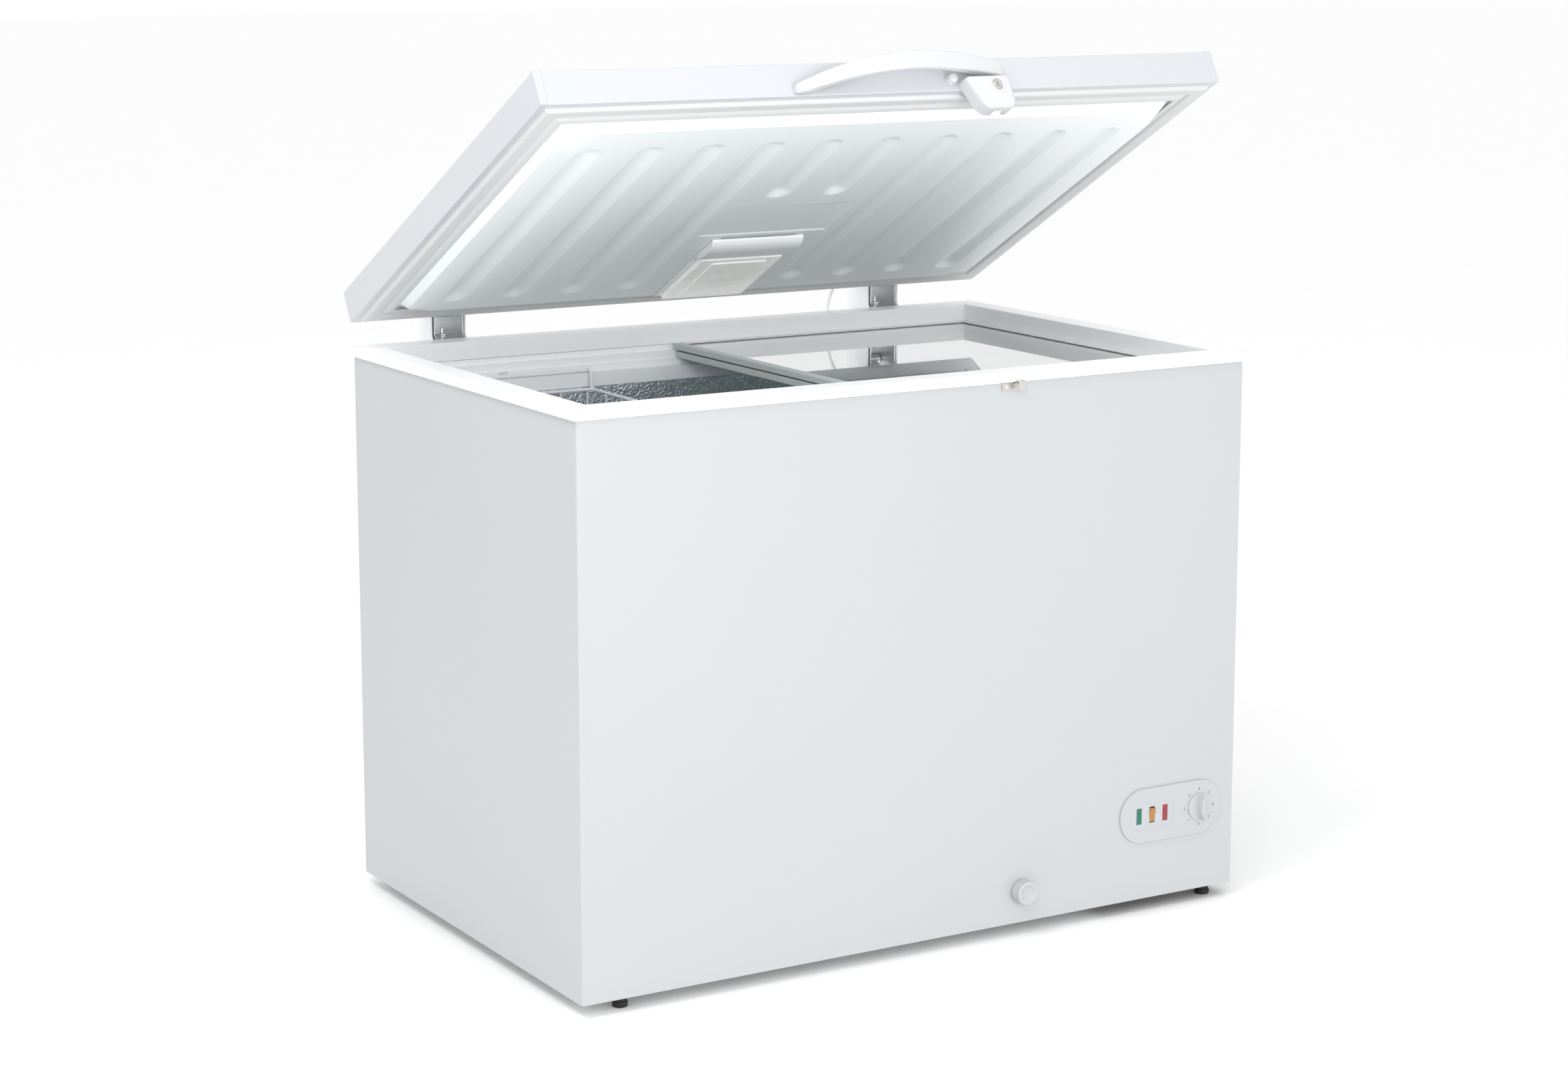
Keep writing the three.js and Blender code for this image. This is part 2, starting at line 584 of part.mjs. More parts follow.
function lampBase() {
  const { halfW, front, back, bar } = LAMP;
  const plateTop = PANEL_FACE - GAP;
  const round = new THREE.Shape();
  round.moveTo(front, plateTop);
  round.quadraticCurveTo(front + 4, plateTop - 12, front + 30, plateTop - 12);
  round.lineTo(bar - 4, plateTop - 9);
  round.lineTo(bar, plateTop);
  round.closePath();
  const plate = box(-halfW, halfW, front + 2, back, plateTop - 2.4, plateTop);
  const [x0, x1, y0, y1] = grown(LAMP_HOLE, -GAP);
  const tray = cut(box(x0, x1, y0, y1, plateTop - 1, 886),
    box(x0 + 2, x1 - 2, y0 + 52, y1 - 2, plateTop - 10, 884));
  const socket = rod(ALONG_X, [0, 225, 862], 12, x0 + 1, x0 + 26, 14);
  return cut(
    union(prism(round, ALONG_X, -halfW, halfW, 6), plate, tray, socket),
    box(x0 + 2, x1 - 2, y0 + 56, y1 - 2, plateTop - 10, plateTop + 2),
  );
}

const lampBulb = () => lathe([[0, 0], [7, 0], [7, 12], [12, 22], [15, 34], [14, 44], [8, 52], [0, 54]],
  ALONG_X, [LAMP_HOLE[0] + 27, 225, 862], 14);

function lampLens() {
  const top = PANEL_FACE - 2.7 - 2 * GAP;
  const floor = top - 7;
  return cut(
    union(box(-72, 72, LAMP.bar + GAP, 302, floor, top), box(-48, 48, 164, 290, floor - 2, floor + 1)),
    box(-70.5, 70.5, LAMP.bar + 2, 300.5, floor + 1.5, top + 1),
    box(-46.5, 46.5, 165.5, 288.5, floor - 0.5, floor + 2),
  );
}

// Bowed pull: cross-sections follow an arch in height and a bow in plan.
const HANDLE = { x0: -176, x1: 174, peakX: 40, bow: 24, end: 12 };

function handle() {
  const contact = LID_FRONT - GAP;
  const sections = [];
  const count = 20;
  for (let i = 0; i <= count; i += 1) {
    const x = HANDLE.x0 + ((HANDLE.x1 - HANDLE.x0) * i) / count;
    const left = x < HANDLE.peakX;
    const u = (x - HANDLE.peakX) / (left ? HANDLE.peakX - HANDLE.x0 : HANDLE.x1 - HANDLE.peakX);
    const top = LID_TOP - (left ? 36 : 11) * u * u;
    const bottom = Math.max(LID_BOTTOM + 1, 878 - (left ? 24 : 6) * u * u);
    const bow = 1 - (x / HANDLE.x0) ** 2;
    const out = contact - HANDLE.end - HANDLE.bow * bow;
    const back = contact - Math.max(0, (HANDLE.bow + 2) * (1 - (x / 142) ** 2));
    sections.push([[x, back, bottom], [x, out, bottom], [x, out, top - 3], [x, out + 4, top],
      [x, back, top]]);
  }
  const boss = rod(ALONG_Y, [88, 0, 870], 8, contact - 18, contact, 14);
  const web = box(80, 96, contact - 18, contact, 870, 884);
  return union(loft(sections), boss, web);
}

const LOCK = { x: 148, z: 852, front: -402, r: 8 };

function housingLoop(y, inset) {
  const shape = [[100, 868], [100, 860], [116, 824], [126, 815], [167, 815], [174, 822], [174, 862],
    [168, 868]];
  const cx = 140;
  const cz = 842;
  return shape.map(([x, z]) => [
    x - inset * Math.sign(x - cx) * Math.min(1, Math.abs(x - cx) / 20), y,
    z - inset * Math.sign(z - cz) * Math.min(1, Math.abs(z - cz) / 20)]);
}

function lockHousing() {
  const contact = LID_FRONT - GAP;
  return cut(
    union(
      loft([housingLoop(contact, 0), housingLoop(LOCK.front + 4, 0.5), housingLoop(LOCK.front, 4)]),
      rod(ALONG_Y, [LOCK.x, 0, LOCK.z], 11, LOCK.front - 1.5, LOCK.front + 3, 24),
    ),
    loft([housingLoop(contact + 2, 2.5), housingLoop(LOCK.front + 3, 4)]),
    rod(ALONG_Y, [LOCK.x, 0, LOCK.z], LOCK.r + GAP, LOCK.front - 5, LOCK.front + 8, 24),
    box(CATCH.hookX - 4, CATCH.x1 + 4, -390, contact + 2, 810, 820),
  );
}

function lockCylinder() {
  return cut(
    lathe([[0, LOCK.front - 2], [7.2, LOCK.front - 2], [8, LOCK.front - 1.2], [8, LOCK.front + 8],
      [6, LOCK.front + 8], [6, -383], [0, -383]], ALONG_Y, [LOCK.x, 0, LOCK.z], 16),
    box(LOCK.x - 0.7, LOCK.x + 0.7, LOCK.front - 5, LOCK.front + 3, LOCK.z - 4, LOCK.z + 4),
  );
}

// Claw that swings under the keeper's fold; drawn unlocked.
function lockCam() {
  const claw = new THREE.Shape();
  const arc = (r, from, to) => {
    const points = [];
    for (let i = 0; i <= 4; i += 1) {
      const a = THREE.MathUtils.degToRad(from + ((to - from) * i) / 4);
      points.push([LOCK.z + r * Math.sin(a), LOCK.x + r * Math.cos(a)]);
    }
    return points;
  };
  const loop = [...arc(18.8, 137, 192), ...arc(15.5, 192, 152), ...arc(6, 152, 137)];
  claw.setFromPoints(loop.reverse().map(([a, b]) => new THREE.Vector2(a, b)));
  return union(
    prism(claw, ALONG_Y, -382.7, -379.3),
    rod(ALONG_Y, [LOCK.x, 0, LOCK.z], 7, -382.7, -379.3, 16),
  );
}

// ---- Hinges ---------------------------------------------------------------------------------------
const HINGE_HALF = 25;

function hingeBracket(x) {
  const back = HALF_D + GAP;
  const cheek = outline([
    [back, 770], [402, 770], [441, 850], [441, 892], [436, 897], [386, 897], [381, 892], [381, 856],
    [376.4, 850], [376.4, 833.5], [back, 833.5],
  ]);
  const sides = [x - HINGE_HALF, x + HINGE_HALF - 2].map((x0) => prism(cheek, ALONG_X, x0, x0 + 2));
  return cut(
    union(
      ...sides,
      box(x - HINGE_HALF, x + HINGE_HALF, back, back + 2, 770, 833.5),
      box(x - HINGE_HALF, x + HINGE_HALF, 439, 441, 850, 890),
    ),
    rod(ALONG_X, [0, HINGE_Y, HINGE_Z], 4 + GAP, x - 40, x + 40, 16),
  );
}

const hingePin = (x) => lathe([[0, -27], [6, -27], [6, -HINGE_HALF - GAP], [4, -HINGE_HALF - GAP],
  [4, HINGE_HALF + 1.8], [0, HINGE_HALF + 1.8]], ALONG_X, [x, HINGE_Y, HINGE_Z], 16);

function hingeLeaf(x) {
  const y = LID_BACK + GAP;
  return cut(
    union(
      box(x - 21, x + 21, y, y + 2.5, 862, 903),
      box(x - 12, x + 12, y + 2, HINGE_Y, 881, 892),
      rod(ALONG_X, [0, HINGE_Y, HINGE_Z], 8, x - 22, x + 22, 18),
    ),
    rod(ALONG_X, [0, HINGE_Y, HINGE_Z], 4 + GAP, x - 40, x + 40, 16),
  );
}

function hingeCover(x) {
  const side = outline([[376.4, 800], [446, 800], [446, 899], [385, 899], [382, 896], [382, 854],
    [376.4, 848]]);
  const hollow = outline([[370, 790], [443.6, 790], [443.6, 910], [370, 910]]);
  const outer = HINGE_HALF + 5;
  const inner = HINGE_HALF + 2.2;
  return cut(prism(side, ALONG_X, x - outer, x + outer), prism(hollow, ALONG_X, x - inner, x + inner));
}

// Supply lead from the back of the lid to the back of the cabinet.
const leadPath = [[312, 377.3, 901.8], [312, 386, 897], [309, 400, 877], [305, 405, 850],
  [301, 402, 818], [300, 393, 797], [300, 381, 790], [300, HALF_D + 2 * GAP, 790]];

// ---- Glass lids ------------------------------------------------------------------------------------
const PANE = { left: -30, right: MOUTH_X - 0.6, trim: 8, handle: 16, height: 10, thick: 4 };

function paneTrim(halfD, ledge) {
  const z0 = ledge + GAP;
  const z1 = z0 + PANE.height;
  return cut(
    box(PANE.left, PANE.right, -halfD, halfD, z0, z1),
    box(PANE.left + PANE.handle, PANE.right - PANE.trim, -halfD + PANE.trim, halfD - PANE.trim,
      z0 - 1, z1 + 1),
    box(PANE.left + 6, PANE.right - 3, -halfD + 3, halfD - 3, z0 + 2.7, z0 + 3.3 + PANE.thick),
  );
}

const pane = (halfD, ledge) => box(PANE.left + 6 + GAP, PANE.right - 3 - GAP, -halfD + 3 + GAP,
  halfD - 3 - GAP, ledge + GAP + 3, ledge + GAP + 3 + PANE.thick);

// ---- Wire basket -----------------------------------------------------------------------------------
const BASKET = { x0: -495, x1: -195, y: 296.5, top: 765, bottom: 560, wiresX: 2, wiresY: 5 };

function basket() {
  const { x0, x1, y, top, bottom, wiresX, wiresY } = BASKET;
  const inset = 8;
  const thick = 2.8;
  const thin = 1.6;
  const parts = [];
  const loop = (z, r, d) => {
    const corners = [[x0 + d, -y + d, z], [x1 - d, -y + d, z], [x1 - d, y - d, z], [x0 + d, y - d, z]];
    corners.forEach((corner, i) => parts.push(wire(corner, corners[(i + 1) % 4], r, 4)));
  };
  loop(top, thick, 0);
  loop(bottom, thin, inset);
  for (let i = 0; i <= wiresX + 1; i += 1) {
    const x = x0 + inset + ((x1 - x0 - 2 * inset) * i) / (wiresX + 1);
    parts.push(wire([x, -y, top], [x, -y + inset, bottom], thin, 4));
    parts.push(wire([x, -y + inset, bottom], [x, y - inset, bottom], thin, 4));
    parts.push(wire([x, y - inset, bottom], [x, y, top], thin, 4));
  }
  for (let i = 1; i <= wiresY; i += 1) {
    const yy = -y + (2 * y * i) / (wiresY + 1);
    parts.push(wire([x0, yy, top], [x0 + inset, yy, bottom - 2.5], thin, 4));
    parts.push(wire([x0 + inset, yy, bottom - 2.5], [x1 - inset, yy, bottom - 2.5], thin, 4));
    parts.push(wire([x1 - inset, yy, bottom - 2.5], [x1, yy, top], thin, 4));
  }
  const hangZ = BASKET_LEDGE + GAP + 3;
  for (const side of [-1, 1]) {
    const rail = side * 311.5;
    const drop = side * 299.5;
    parts.push(wire([x0 + 3, rail, hangZ], [x1, rail, hangZ], 3));
    for (const x of [x0 + 3, x1]) {
      parts.push(wire([x, rail, hangZ], [x, drop, hangZ], 3));
      parts.push(wire([x, drop, hangZ], [x, side * y, top], 3));
    }
  }
  return union(...parts);
}

// ---- Assembly --------------------------------------------------------------------------------------
const freezer = new THREE.Group();
freezer.name = 'chest_freezer';
const cabinet = new THREE.Group();
cabinet.position.y = -DEPTH_CENTRE;
freezer.add(cabinet);

mesh(cabinet, 'outer_shell', outerShell(), looks.whiteSteel());
mesh(cabinet, 'base_panel', floorPlate(-HALF_W, BAY_X - GAP, SHEET), looks.zinc());
mesh(cabinet, 'compressor_base', floorPlate(BAY_X, HALF_W, 2), looks.blackMetal());
mesh(cabinet, 'foam_tub', foamTub(), looks.foam());
mesh(cabinet, 'evaporator_coil', evaporator(), looks.copper());
mesh(cabinet, 'inner_liner', innerLiner(), looks.stucco());
mesh(cabinet, 'top_rim', rim(), looks.whitePlastic());
mesh(cabinet, 'slide_rail_frame', railFrame(), looks.whitePlastic());
mesh(cabinet, 'rail_clip', box(-346, -331, LOWER_TRACK_Y - 1.3, LOWER_TRACK_Y - GAP,
  BASKET_LEDGE + GAP, LOWER_TRACK - GAP), looks.clearPlastic());
mesh(cabinet, 'drain_tube', cut(drainTube(), drainBore()), looks.whitePlastic());
mesh(cabinet, 'drain_cap', drainCap(), looks.whitePlastic());

const FEET = { left_front: [-492, -342], right_front: [531, -342], left_rear: [-492, 342],
  right_rear: [531, 342] };
for (const [where, [x, y]] of Object.entries(FEET)) {
  mesh(cabinet, `foot_${where}`, foot(x, y), looks.rubber());
}
mesh(cabinet, 'lock_catch', lockCatch(), looks.nickel());
mesh(cabinet, 'catch_screw', catchScrew(), looks.zinc());

mesh(cabinet, 'control_panel', controlPanel(), looks.whitePlastic());
mesh(cabinet, 'power_lens', lens(-1), looks.green());
mesh(cabinet, 'alarm_lens', lens(1), looks.red());
mesh(cabinet, 'switch_block', box(374, 442, -HALF_D + 14 + GAP, -HALF_D + 40, 136, 166),
  looks.blackPlastic());
mesh(cabinet, 'thermostat_knob', knob(), looks.whitePlastic());
mesh(cabinet, 'thermostat_body', box(479, 515, -HALF_D + 2, -HALF_D + 36, 133, 169), looks.zinc());
const rockerSeat = new THREE.Group();
rockerSeat.position.set(PANEL.lensX, ROCKER.y, PANEL.z);
rockerSeat.rotation.x = THREE.MathUtils.degToRad(ROCKER.tilt);
cabinet.add(rockerSeat);
mesh(rockerSeat, 'fast_freeze_rocker', rocker(), looks.amber());

mesh(cabinet, 'compressor', compressor(), looks.blackMetal());
mesh(cabinet, 'start_relay', relayBox(), looks.blackPlastic());
MOTOR_FEET.forEach(([dx, dy], i) => {
  mesh(cabinet, `motor_grommet_${i + 1}`, grommet(dx, dy), looks.rubber());
});
mesh(cabinet, 'filter_drier', drier(), looks.copper());
mesh(cabinet, 'discharge_pipe', dischargePipe(), looks.copper());
mesh(cabinet, 'rear_grille', rearGrille(), looks.whiteSteel());
mesh(cabinet, 'cord_gland', cordGland(), looks.blackPlastic());

for (const [side, x] of [['left', -HINGE_X], ['right', HINGE_X]]) {
  mesh(cabinet, `hinge_bracket_${side}`, hingeBracket(x), looks.zinc());
  mesh(cabinet, `hinge_pin_${side}`, hingePin(x), looks.zinc());
  mesh(cabinet, `hinge_cover_${side}`, hingeCover(x), looks.whitePlastic());
}
mesh(cabinet, 'lamp_lead', tube(leadPath, 2.5, 18), looks.whitePlastic());

mesh(cabinet, 'upper_glass_trim', paneTrim(MOUTH_Y - 1, UPPER_TRACK), looks.glassTrim());
mesh(cabinet, 'upper_glass', pane(MOUTH_Y - 1, UPPER_TRACK), looks.glass());
mesh(cabinet, 'lower_glass_trim', paneTrim(UPPER_TRACK_Y - 0.5, LOWER_TRACK), looks.glassTrim());
mesh(cabinet, 'lower_glass', pane(UPPER_TRACK_Y - 0.5, LOWER_TRACK), looks.glass());
mesh(cabinet, 'basket', basket(), looks.wire());

// The lid turns about the hinge line: the pivot group stands on it, and its pieces are drawn closed.
const pivot = new THREE.Group();
pivot.position.set(0, HINGE_Y, HINGE_Z);
pivot.rotation.x = THREE.MathUtils.degToRad(-LID_OPEN);
cabinet.add(pivot);
const lid = new THREE.Group();
lid.position.set(0, -HINGE_Y, -HINGE_Z);
pivot.add(lid);

mesh(lid, 'lid_skin', lidSkin(), looks.whiteSteel());
mesh(lid, 'lid_foam', lidFoam(), looks.foam());
mesh(lid, 'lid_inner_panel', lidInnerPanel(), looks.lidPanel());
mesh(lid, 'lid_gasket', lidGasket(), looks.seal());
mesh(lid, 'lamp_base', lampBase(), looks.whitePlastic());
mesh(lid, 'lamp_bulb', lampBulb(), looks.glass());
mesh(lid, 'lamp_lens', lampLens(), looks.clearPlastic());
mesh(lid, 'lid_handle', handle(), looks.whitePlastic());
mesh(lid, 'lock_housing', lockHousing(), looks.whitePlastic());
mesh(lid, 'lock_cylinder', lockCylinder(), looks.nickel());
mesh(lid, 'lock_cam', lockCam(), looks.zinc());
for (const [side, x] of [['left', -HINGE_X], ['right', HINGE_X]]) {
  mesh(lid, `hinge_leaf_${side}`, hingeLeaf(x), looks.zinc());
}

export default freezer;
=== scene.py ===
import json
import math

import bmesh
import bpy
import numpy as np
from mathutils import Matrix, Vector

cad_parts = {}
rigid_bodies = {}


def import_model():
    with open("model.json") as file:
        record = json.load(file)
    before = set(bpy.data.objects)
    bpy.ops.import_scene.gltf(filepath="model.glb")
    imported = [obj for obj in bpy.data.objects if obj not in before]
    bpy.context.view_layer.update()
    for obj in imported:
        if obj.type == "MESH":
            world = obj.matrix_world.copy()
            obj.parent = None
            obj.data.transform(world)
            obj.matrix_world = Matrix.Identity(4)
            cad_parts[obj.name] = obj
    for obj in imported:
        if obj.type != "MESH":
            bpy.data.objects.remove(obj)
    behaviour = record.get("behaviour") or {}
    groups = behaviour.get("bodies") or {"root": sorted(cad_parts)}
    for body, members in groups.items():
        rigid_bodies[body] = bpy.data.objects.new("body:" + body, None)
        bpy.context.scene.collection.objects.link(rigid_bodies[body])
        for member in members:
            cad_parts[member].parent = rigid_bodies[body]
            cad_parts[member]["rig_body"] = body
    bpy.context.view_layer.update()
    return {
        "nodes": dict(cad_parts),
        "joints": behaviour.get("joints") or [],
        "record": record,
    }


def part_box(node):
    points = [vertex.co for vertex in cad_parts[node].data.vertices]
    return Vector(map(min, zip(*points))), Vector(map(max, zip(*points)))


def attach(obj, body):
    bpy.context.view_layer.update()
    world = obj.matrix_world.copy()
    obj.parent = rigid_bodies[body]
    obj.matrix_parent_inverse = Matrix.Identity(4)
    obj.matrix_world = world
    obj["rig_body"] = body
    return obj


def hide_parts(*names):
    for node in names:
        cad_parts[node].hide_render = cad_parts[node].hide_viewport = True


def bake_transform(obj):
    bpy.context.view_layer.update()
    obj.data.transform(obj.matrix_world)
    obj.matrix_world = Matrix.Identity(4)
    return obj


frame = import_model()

# ---- Camera -----------------------------------------------------------------------------------
# A long lens about five metres off the front left corner, higher than the open lid and tipped
# slightly down, with the frame moved a little to set the freezer in its middle.
shell_low, shell_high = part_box("outer_shell")
middle_y = (shell_low.y + shell_high.y) / 2          # the cabinet's own middle in the frame
stand_x, stand_y, stand_z = -2.4987, -4.1481, 1.5079  # metres, from that middle and the floor
heading, tilt = math.radians(-30.848), math.radians(9.844)
ahead = Vector((-math.sin(heading) * math.cos(tilt), math.cos(heading) * math.cos(tilt), -math.sin(tilt)))
right = Vector((math.cos(heading), math.sin(heading), 0))
above = right.cross(ahead)
camera = bpy.data.objects.new("camera", bpy.data.cameras.new("camera"))
camera.matrix_world = Matrix.Translation((stand_x, stand_y + middle_y, stand_z)) @ Matrix(
    (right, above, -ahead)).transposed().to_4x4()
camera.data.sensor_width = 36
camera.data.lens = 73.93
camera.data.shift_y = -0.05
bpy.context.scene.collection.objects.link(camera)
bpy.context.scene.camera = camera


# ---- Floor and light --------------------------------------------------------------------------
# A white studio: a pale painted floor, an even white surround and three soft square lamps, one in
# front, one high on the left and a small one that shines in through the gap under the lid.
def new_material(name, **plain):
    """A material with its Principled shader's plain values set; returns it, its tree and the shader."""
    made = bpy.data.materials.new(name)
    made.use_nodes = True
    shader = made.node_tree.nodes["Principled BSDF"]
    for socket, value in plain.items():
        shader.inputs[socket.replace("_", " ")].default_value = value
    return made, made.node_tree, shader


def node(tree, kind, **values):
    """One node; keys in capitals are its input sockets, the rest are its own settings."""
    made = tree.nodes.new("ShaderNode" + kind)
    for key, value in values.items():
        if key[0].isupper():
            made.inputs[key.replace("_", " ")].default_value = value
        else:
            setattr(made, key, value)
    return made


def wire_up(tree, *pairs):
    """Links each pair of sockets, from the first to the second."""
    for start, end in pairs:
        tree.links.new(start, end)


def new_group(name, inputs, outputs):
    """An empty shader node group with number inputs and outputs; returns tree, in node and out node."""
    tree = bpy.data.node_groups.new(name, "ShaderNodeTree")
    for socket, value in inputs.items():
        tree.interface.new_socket(socket, in_out="INPUT", socket_type="NodeSocketFloat").default_value = value
    for socket in outputs:
        tree.interface.new_socket(socket, in_out="OUTPUT", socket_type="NodeSocketFloat")
    return tree, tree.nodes.new("NodeGroupInput"), tree.nodes.new("NodeGroupOutput")


# Fine skin and slow drift, on the piece's own coordinates: two noises, one small and one broad.
# The roughness swings about its own value by the broad noise, taken from the noise's middle.
skin_tree, skin_in, skin_out = new_group(
    "skin", {"Fine": 600.0, "Broad": 4.0, "Roughness": 0.35, "Change": 0.06},
    ("Drift", "Roughness", "Height"))
noise_middle = 0.5
spot = node(skin_tree, "TexCoord")
fine = node(skin_tree, "TexNoise", Detail=2.0, Roughness=0.5)
broad = node(skin_tree, "TexNoise", Detail=4.0, Roughness=0.55)
swing = node(skin_tree, "Math", operation="MULTIPLY_ADD")
centred = node(skin_tree, "Math", operation="SUBTRACT")
centred.inputs[1].default_value = noise_middle
wire_up(skin_tree,
        (spot.outputs["Object"], fine.inputs["Vector"]),
        (skin_in.outputs["Fine"], fine.inputs["Scale"]),
        (spot.outputs["Object"], broad.inputs["Vector"]),
        (skin_in.outputs["Broad"], broad.inputs["Scale"]),
        (broad.outputs["Fac"], centred.inputs[0]),
        (centred.outputs[0], swing.inputs[0]),
        (skin_in.outputs["Change"], swing.inputs[1]),
        (skin_in.outputs["Roughness"], swing.inputs[2]),
        (broad.outputs["Fac"], skin_out.inputs["Drift"]),
        (swing.outputs[0], skin_out.inputs["Roughness"]),
        (fine.outputs["Fac"], skin_out.inputs["Height"]))

first_tone, second_tone, mixed_tone = 6, 7, 2        # a Mix node's places for two colours and their mix


def skinned(name, light, dark, roughness, change=0.06, fine_size=600.0, broad_size=4.0, bump=0.05,
            depth=0.0002, **plain):
    """A finish that drifts between two tones in broad patches, over a fine skin that also bumps it."""
    made, tree, shader = new_material(name, **plain)
    skin = node(tree, "Group", node_tree=skin_tree, Fine=fine_size, Broad=broad_size,
                Roughness=roughness, Change=change)
    tones = node(tree, "Mix", data_type="RGBA")
    tones.inputs[first_tone].default_value = (*light, 1)
    tones.inputs[second_tone].default_value = (*dark, 1)
    relief = node(tree, "Bump", Strength=bump, Distance=depth)
    wire_up(tree,
            (skin.outputs["Drift"], tones.inputs[0]),
            (tones.outputs[mixed_tone], shader.inputs["Base Color"]),
            (skin.outputs["Roughness"], shader.inputs["Roughness"]),
            (skin.outputs["Height"], relief.inputs["Height"]),
            (relief.outputs["Normal"], shader.inputs["Normal"]))
    return made


floor_half = 40
floor = bpy.data.objects.new("floor", bpy.data.meshes.new("floor"))
floor.data.from_pydata(
    [(x * floor_half, y * floor_half, 0) for x, y in ((-1, -1), (1, -1), (1, 1), (-1, 1))],
    [], [(0, 1, 2, 3)])
floor.data.materials.append(
    skinned("pale_floor", (0.985, 0.985, 0.985), (0.97, 0.97, 0.97), 0.8, bump=0.0))
bpy.context.scene.collection.objects.link(floor)

surround = bpy.data.worlds.new("white_surround")
surround.use_nodes = True
surround.node_tree.nodes["Background"].inputs["Color"].default_value = (1, 1, 1, 1)
surround.node_tree.nodes["Background"].inputs["Strength"].default_value = 1.0
bpy.context.scene.world = surround
bpy.context.scene.view_settings.view_transform = "Standard"

# Each lamp's name, its place, the point it is aimed at, its side in metres and its power in watts.
for name, place, aim, side, power in (
        ("front_lamp", (0.2, -4.8, 0.5), (0, 0, 1.0), 2.4, 78),
        ("top_lamp", (-2.2, -1.0, 3.6), (-0.3, 0, 1.1), 1.6, 40),
        ("gap_lamp", (-1.3, -2.3, 1.85), (0.1, 0.2, 0.85), 1.0, 13)):
    lamp = bpy.data.objects.new(name, bpy.data.lights.new(name, "AREA"))
    lamp.data.size = side
    lamp.data.energy = power
    lamp.location = place
    lamp.rotation_euler = (Vector(aim) - Vector(place)).to_track_quat("-Z", "Y").to_euler()
    bpy.context.scene.collection.objects.link(lamp)


# ---- Feet, base and steel shell ---------------------------------------------------------------
# Four rubber feet under a pressed base; the shell is thin steel, baked white, bent round the corners
# and hemmed up its two back edges. Behind the right end a black tray carries the compressor.
def on_cabinet(points):
    """Cabinet millimetres to frame metres: moved so that the shell's middle is the cabinet's."""
    return np.asarray(points, float) / 1000 + (0, middle_y, 0)


def cabinet_depth(y):
    """A frame y in metres as the cabinet's own, in millimetres from its middle."""
    return (y - middle_y) * 1000


def grid_faces(rows, columns, close_rows=False, close_columns=True):
    """Four-sided faces between neighbours on a grid of points, joined round where it closes."""
    r, c = np.meshgrid(np.arange(rows if close_rows else rows - 1),
                       np.arange(columns if close_columns else columns - 1), indexing="ij")
    r2, c2 = (r + 1) % rows, (c + 1) % columns
    corners = [r * columns + c, r * columns + c2, r2 * columns + c2, r2 * columns + c]
    return np.stack(corners, -1).reshape(-1, 4).tolist()


def skin_of(sections, close=False):
    """Points and outward faces of loops joined in order, with flat ends unless the last meets the
    first. The faces are turned over if their signed volume, the sum of each one's corner times the
    cross product of the next two, comes out negative."""
    rows, columns = sections.shape[:2]
    faces = grid_faces(rows, columns, close)
    if not close:
        faces += [list(range(columns))[::-1], list(range((rows - 1) * columns, rows * columns))]
    points = sections.reshape(-1, 3)
    quads = points[np.array(faces[:len(faces) - (0 if close else 2)])]
    a, b, c, d = (quads[:, i] - points.mean(0) for i in range(4))
    swept = (np.einsum("ij,ij->i", a, np.cross(b, c)) + np.einsum("ij,ij->i", a, np.cross(c, d))).sum()
    if not close:
        for loop in (sections[0][::-1], sections[-1]):
            rays = loop - points.mean(0)
            swept += np.einsum("ij,ij->i", np.broadcast_to(rays[0], rays[1:-1].shape),
                               np.cross(rays[1:-1], rays[2:])).sum()
    return points, faces if swept > 0 else [face[::-1] for face in faces]


def together(*shapes):
    """Several (points, faces) shapes as one."""
    points, faces, count = [], [], 0
    for some, corners in shapes:
        points.append(np.asarray(some, float))
        faces += [[i + count for i in face] for face in corners]
        count += len(some)
    return np.concatenate(points), faces


def finish_piece(made, finish, body, slot, stands_for=(), bevel=0.0, steps=2, crease=35, even=True):
    """Shades a piece smooth up to a crease angle, rounds its edges and hangs it on its body."""
    made.data.materials.clear()
    made.data.materials.append(finish)
    made.data.shade_smooth()
    made.data.set_sharp_from_angle(angle=math.radians(crease))
    if bevel:
        rounding = made.modifiers.new("rounding", "BEVEL")
        rounding.width = bevel / 1000
        rounding.segments = steps
        rounding.limit_method = "ANGLE"
        rounding.angle_limit = math.radians(max(crease, 30))
    if even:
        made.modifiers.new("even", "WEIGHTED_NORMAL").keep_sharp = True
    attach(made, body)
    if stands_for:
        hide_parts(*stands_for)
    return made


def new_piece(name, shape, finish, body, slot, stands_for=(), place=on_cabinet, **more):
    """A piece from (points, faces) in millimetres, put where its place function says."""
    points, faces = shape
    mesh = bpy.data.meshes.new(name)
    mesh.from_pydata(place(points).tolist(), [], faces)
    made = bpy.data.objects.new(name, mesh)
    bpy.context.scene.collection.objects.link(made)
    return finish_piece(made, finish, body, slot, stands_for, **more)


def rounded_copy(name, part, finish, **more):
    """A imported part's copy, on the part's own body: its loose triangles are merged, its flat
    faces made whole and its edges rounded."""
    source = frame["nodes"][part]
    merge_within, flat_within = 2e-5, math.radians(0.5)
    solid = bmesh.new()
    solid.from_mesh(source.data)
    bmesh.ops.remove_doubles(solid, verts=solid.verts, dist=merge_within)
    bmesh.ops.dissolve_limit(solid, angle_limit=flat_within, verts=solid.verts, edges=solid.edges)
    mesh = bpy.data.meshes.new(name)
    solid.to_mesh(mesh)
    solid.free()
    made = bpy.data.objects.new(name, mesh)
    bpy.context.scene.collection.objects.link(made)
    slot = next(s["material_slot"] for s in frame["record"]["subparts"] if s["node"] == part)
    return finish_piece(made, finish, source["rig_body"], slot, (part,), **more)


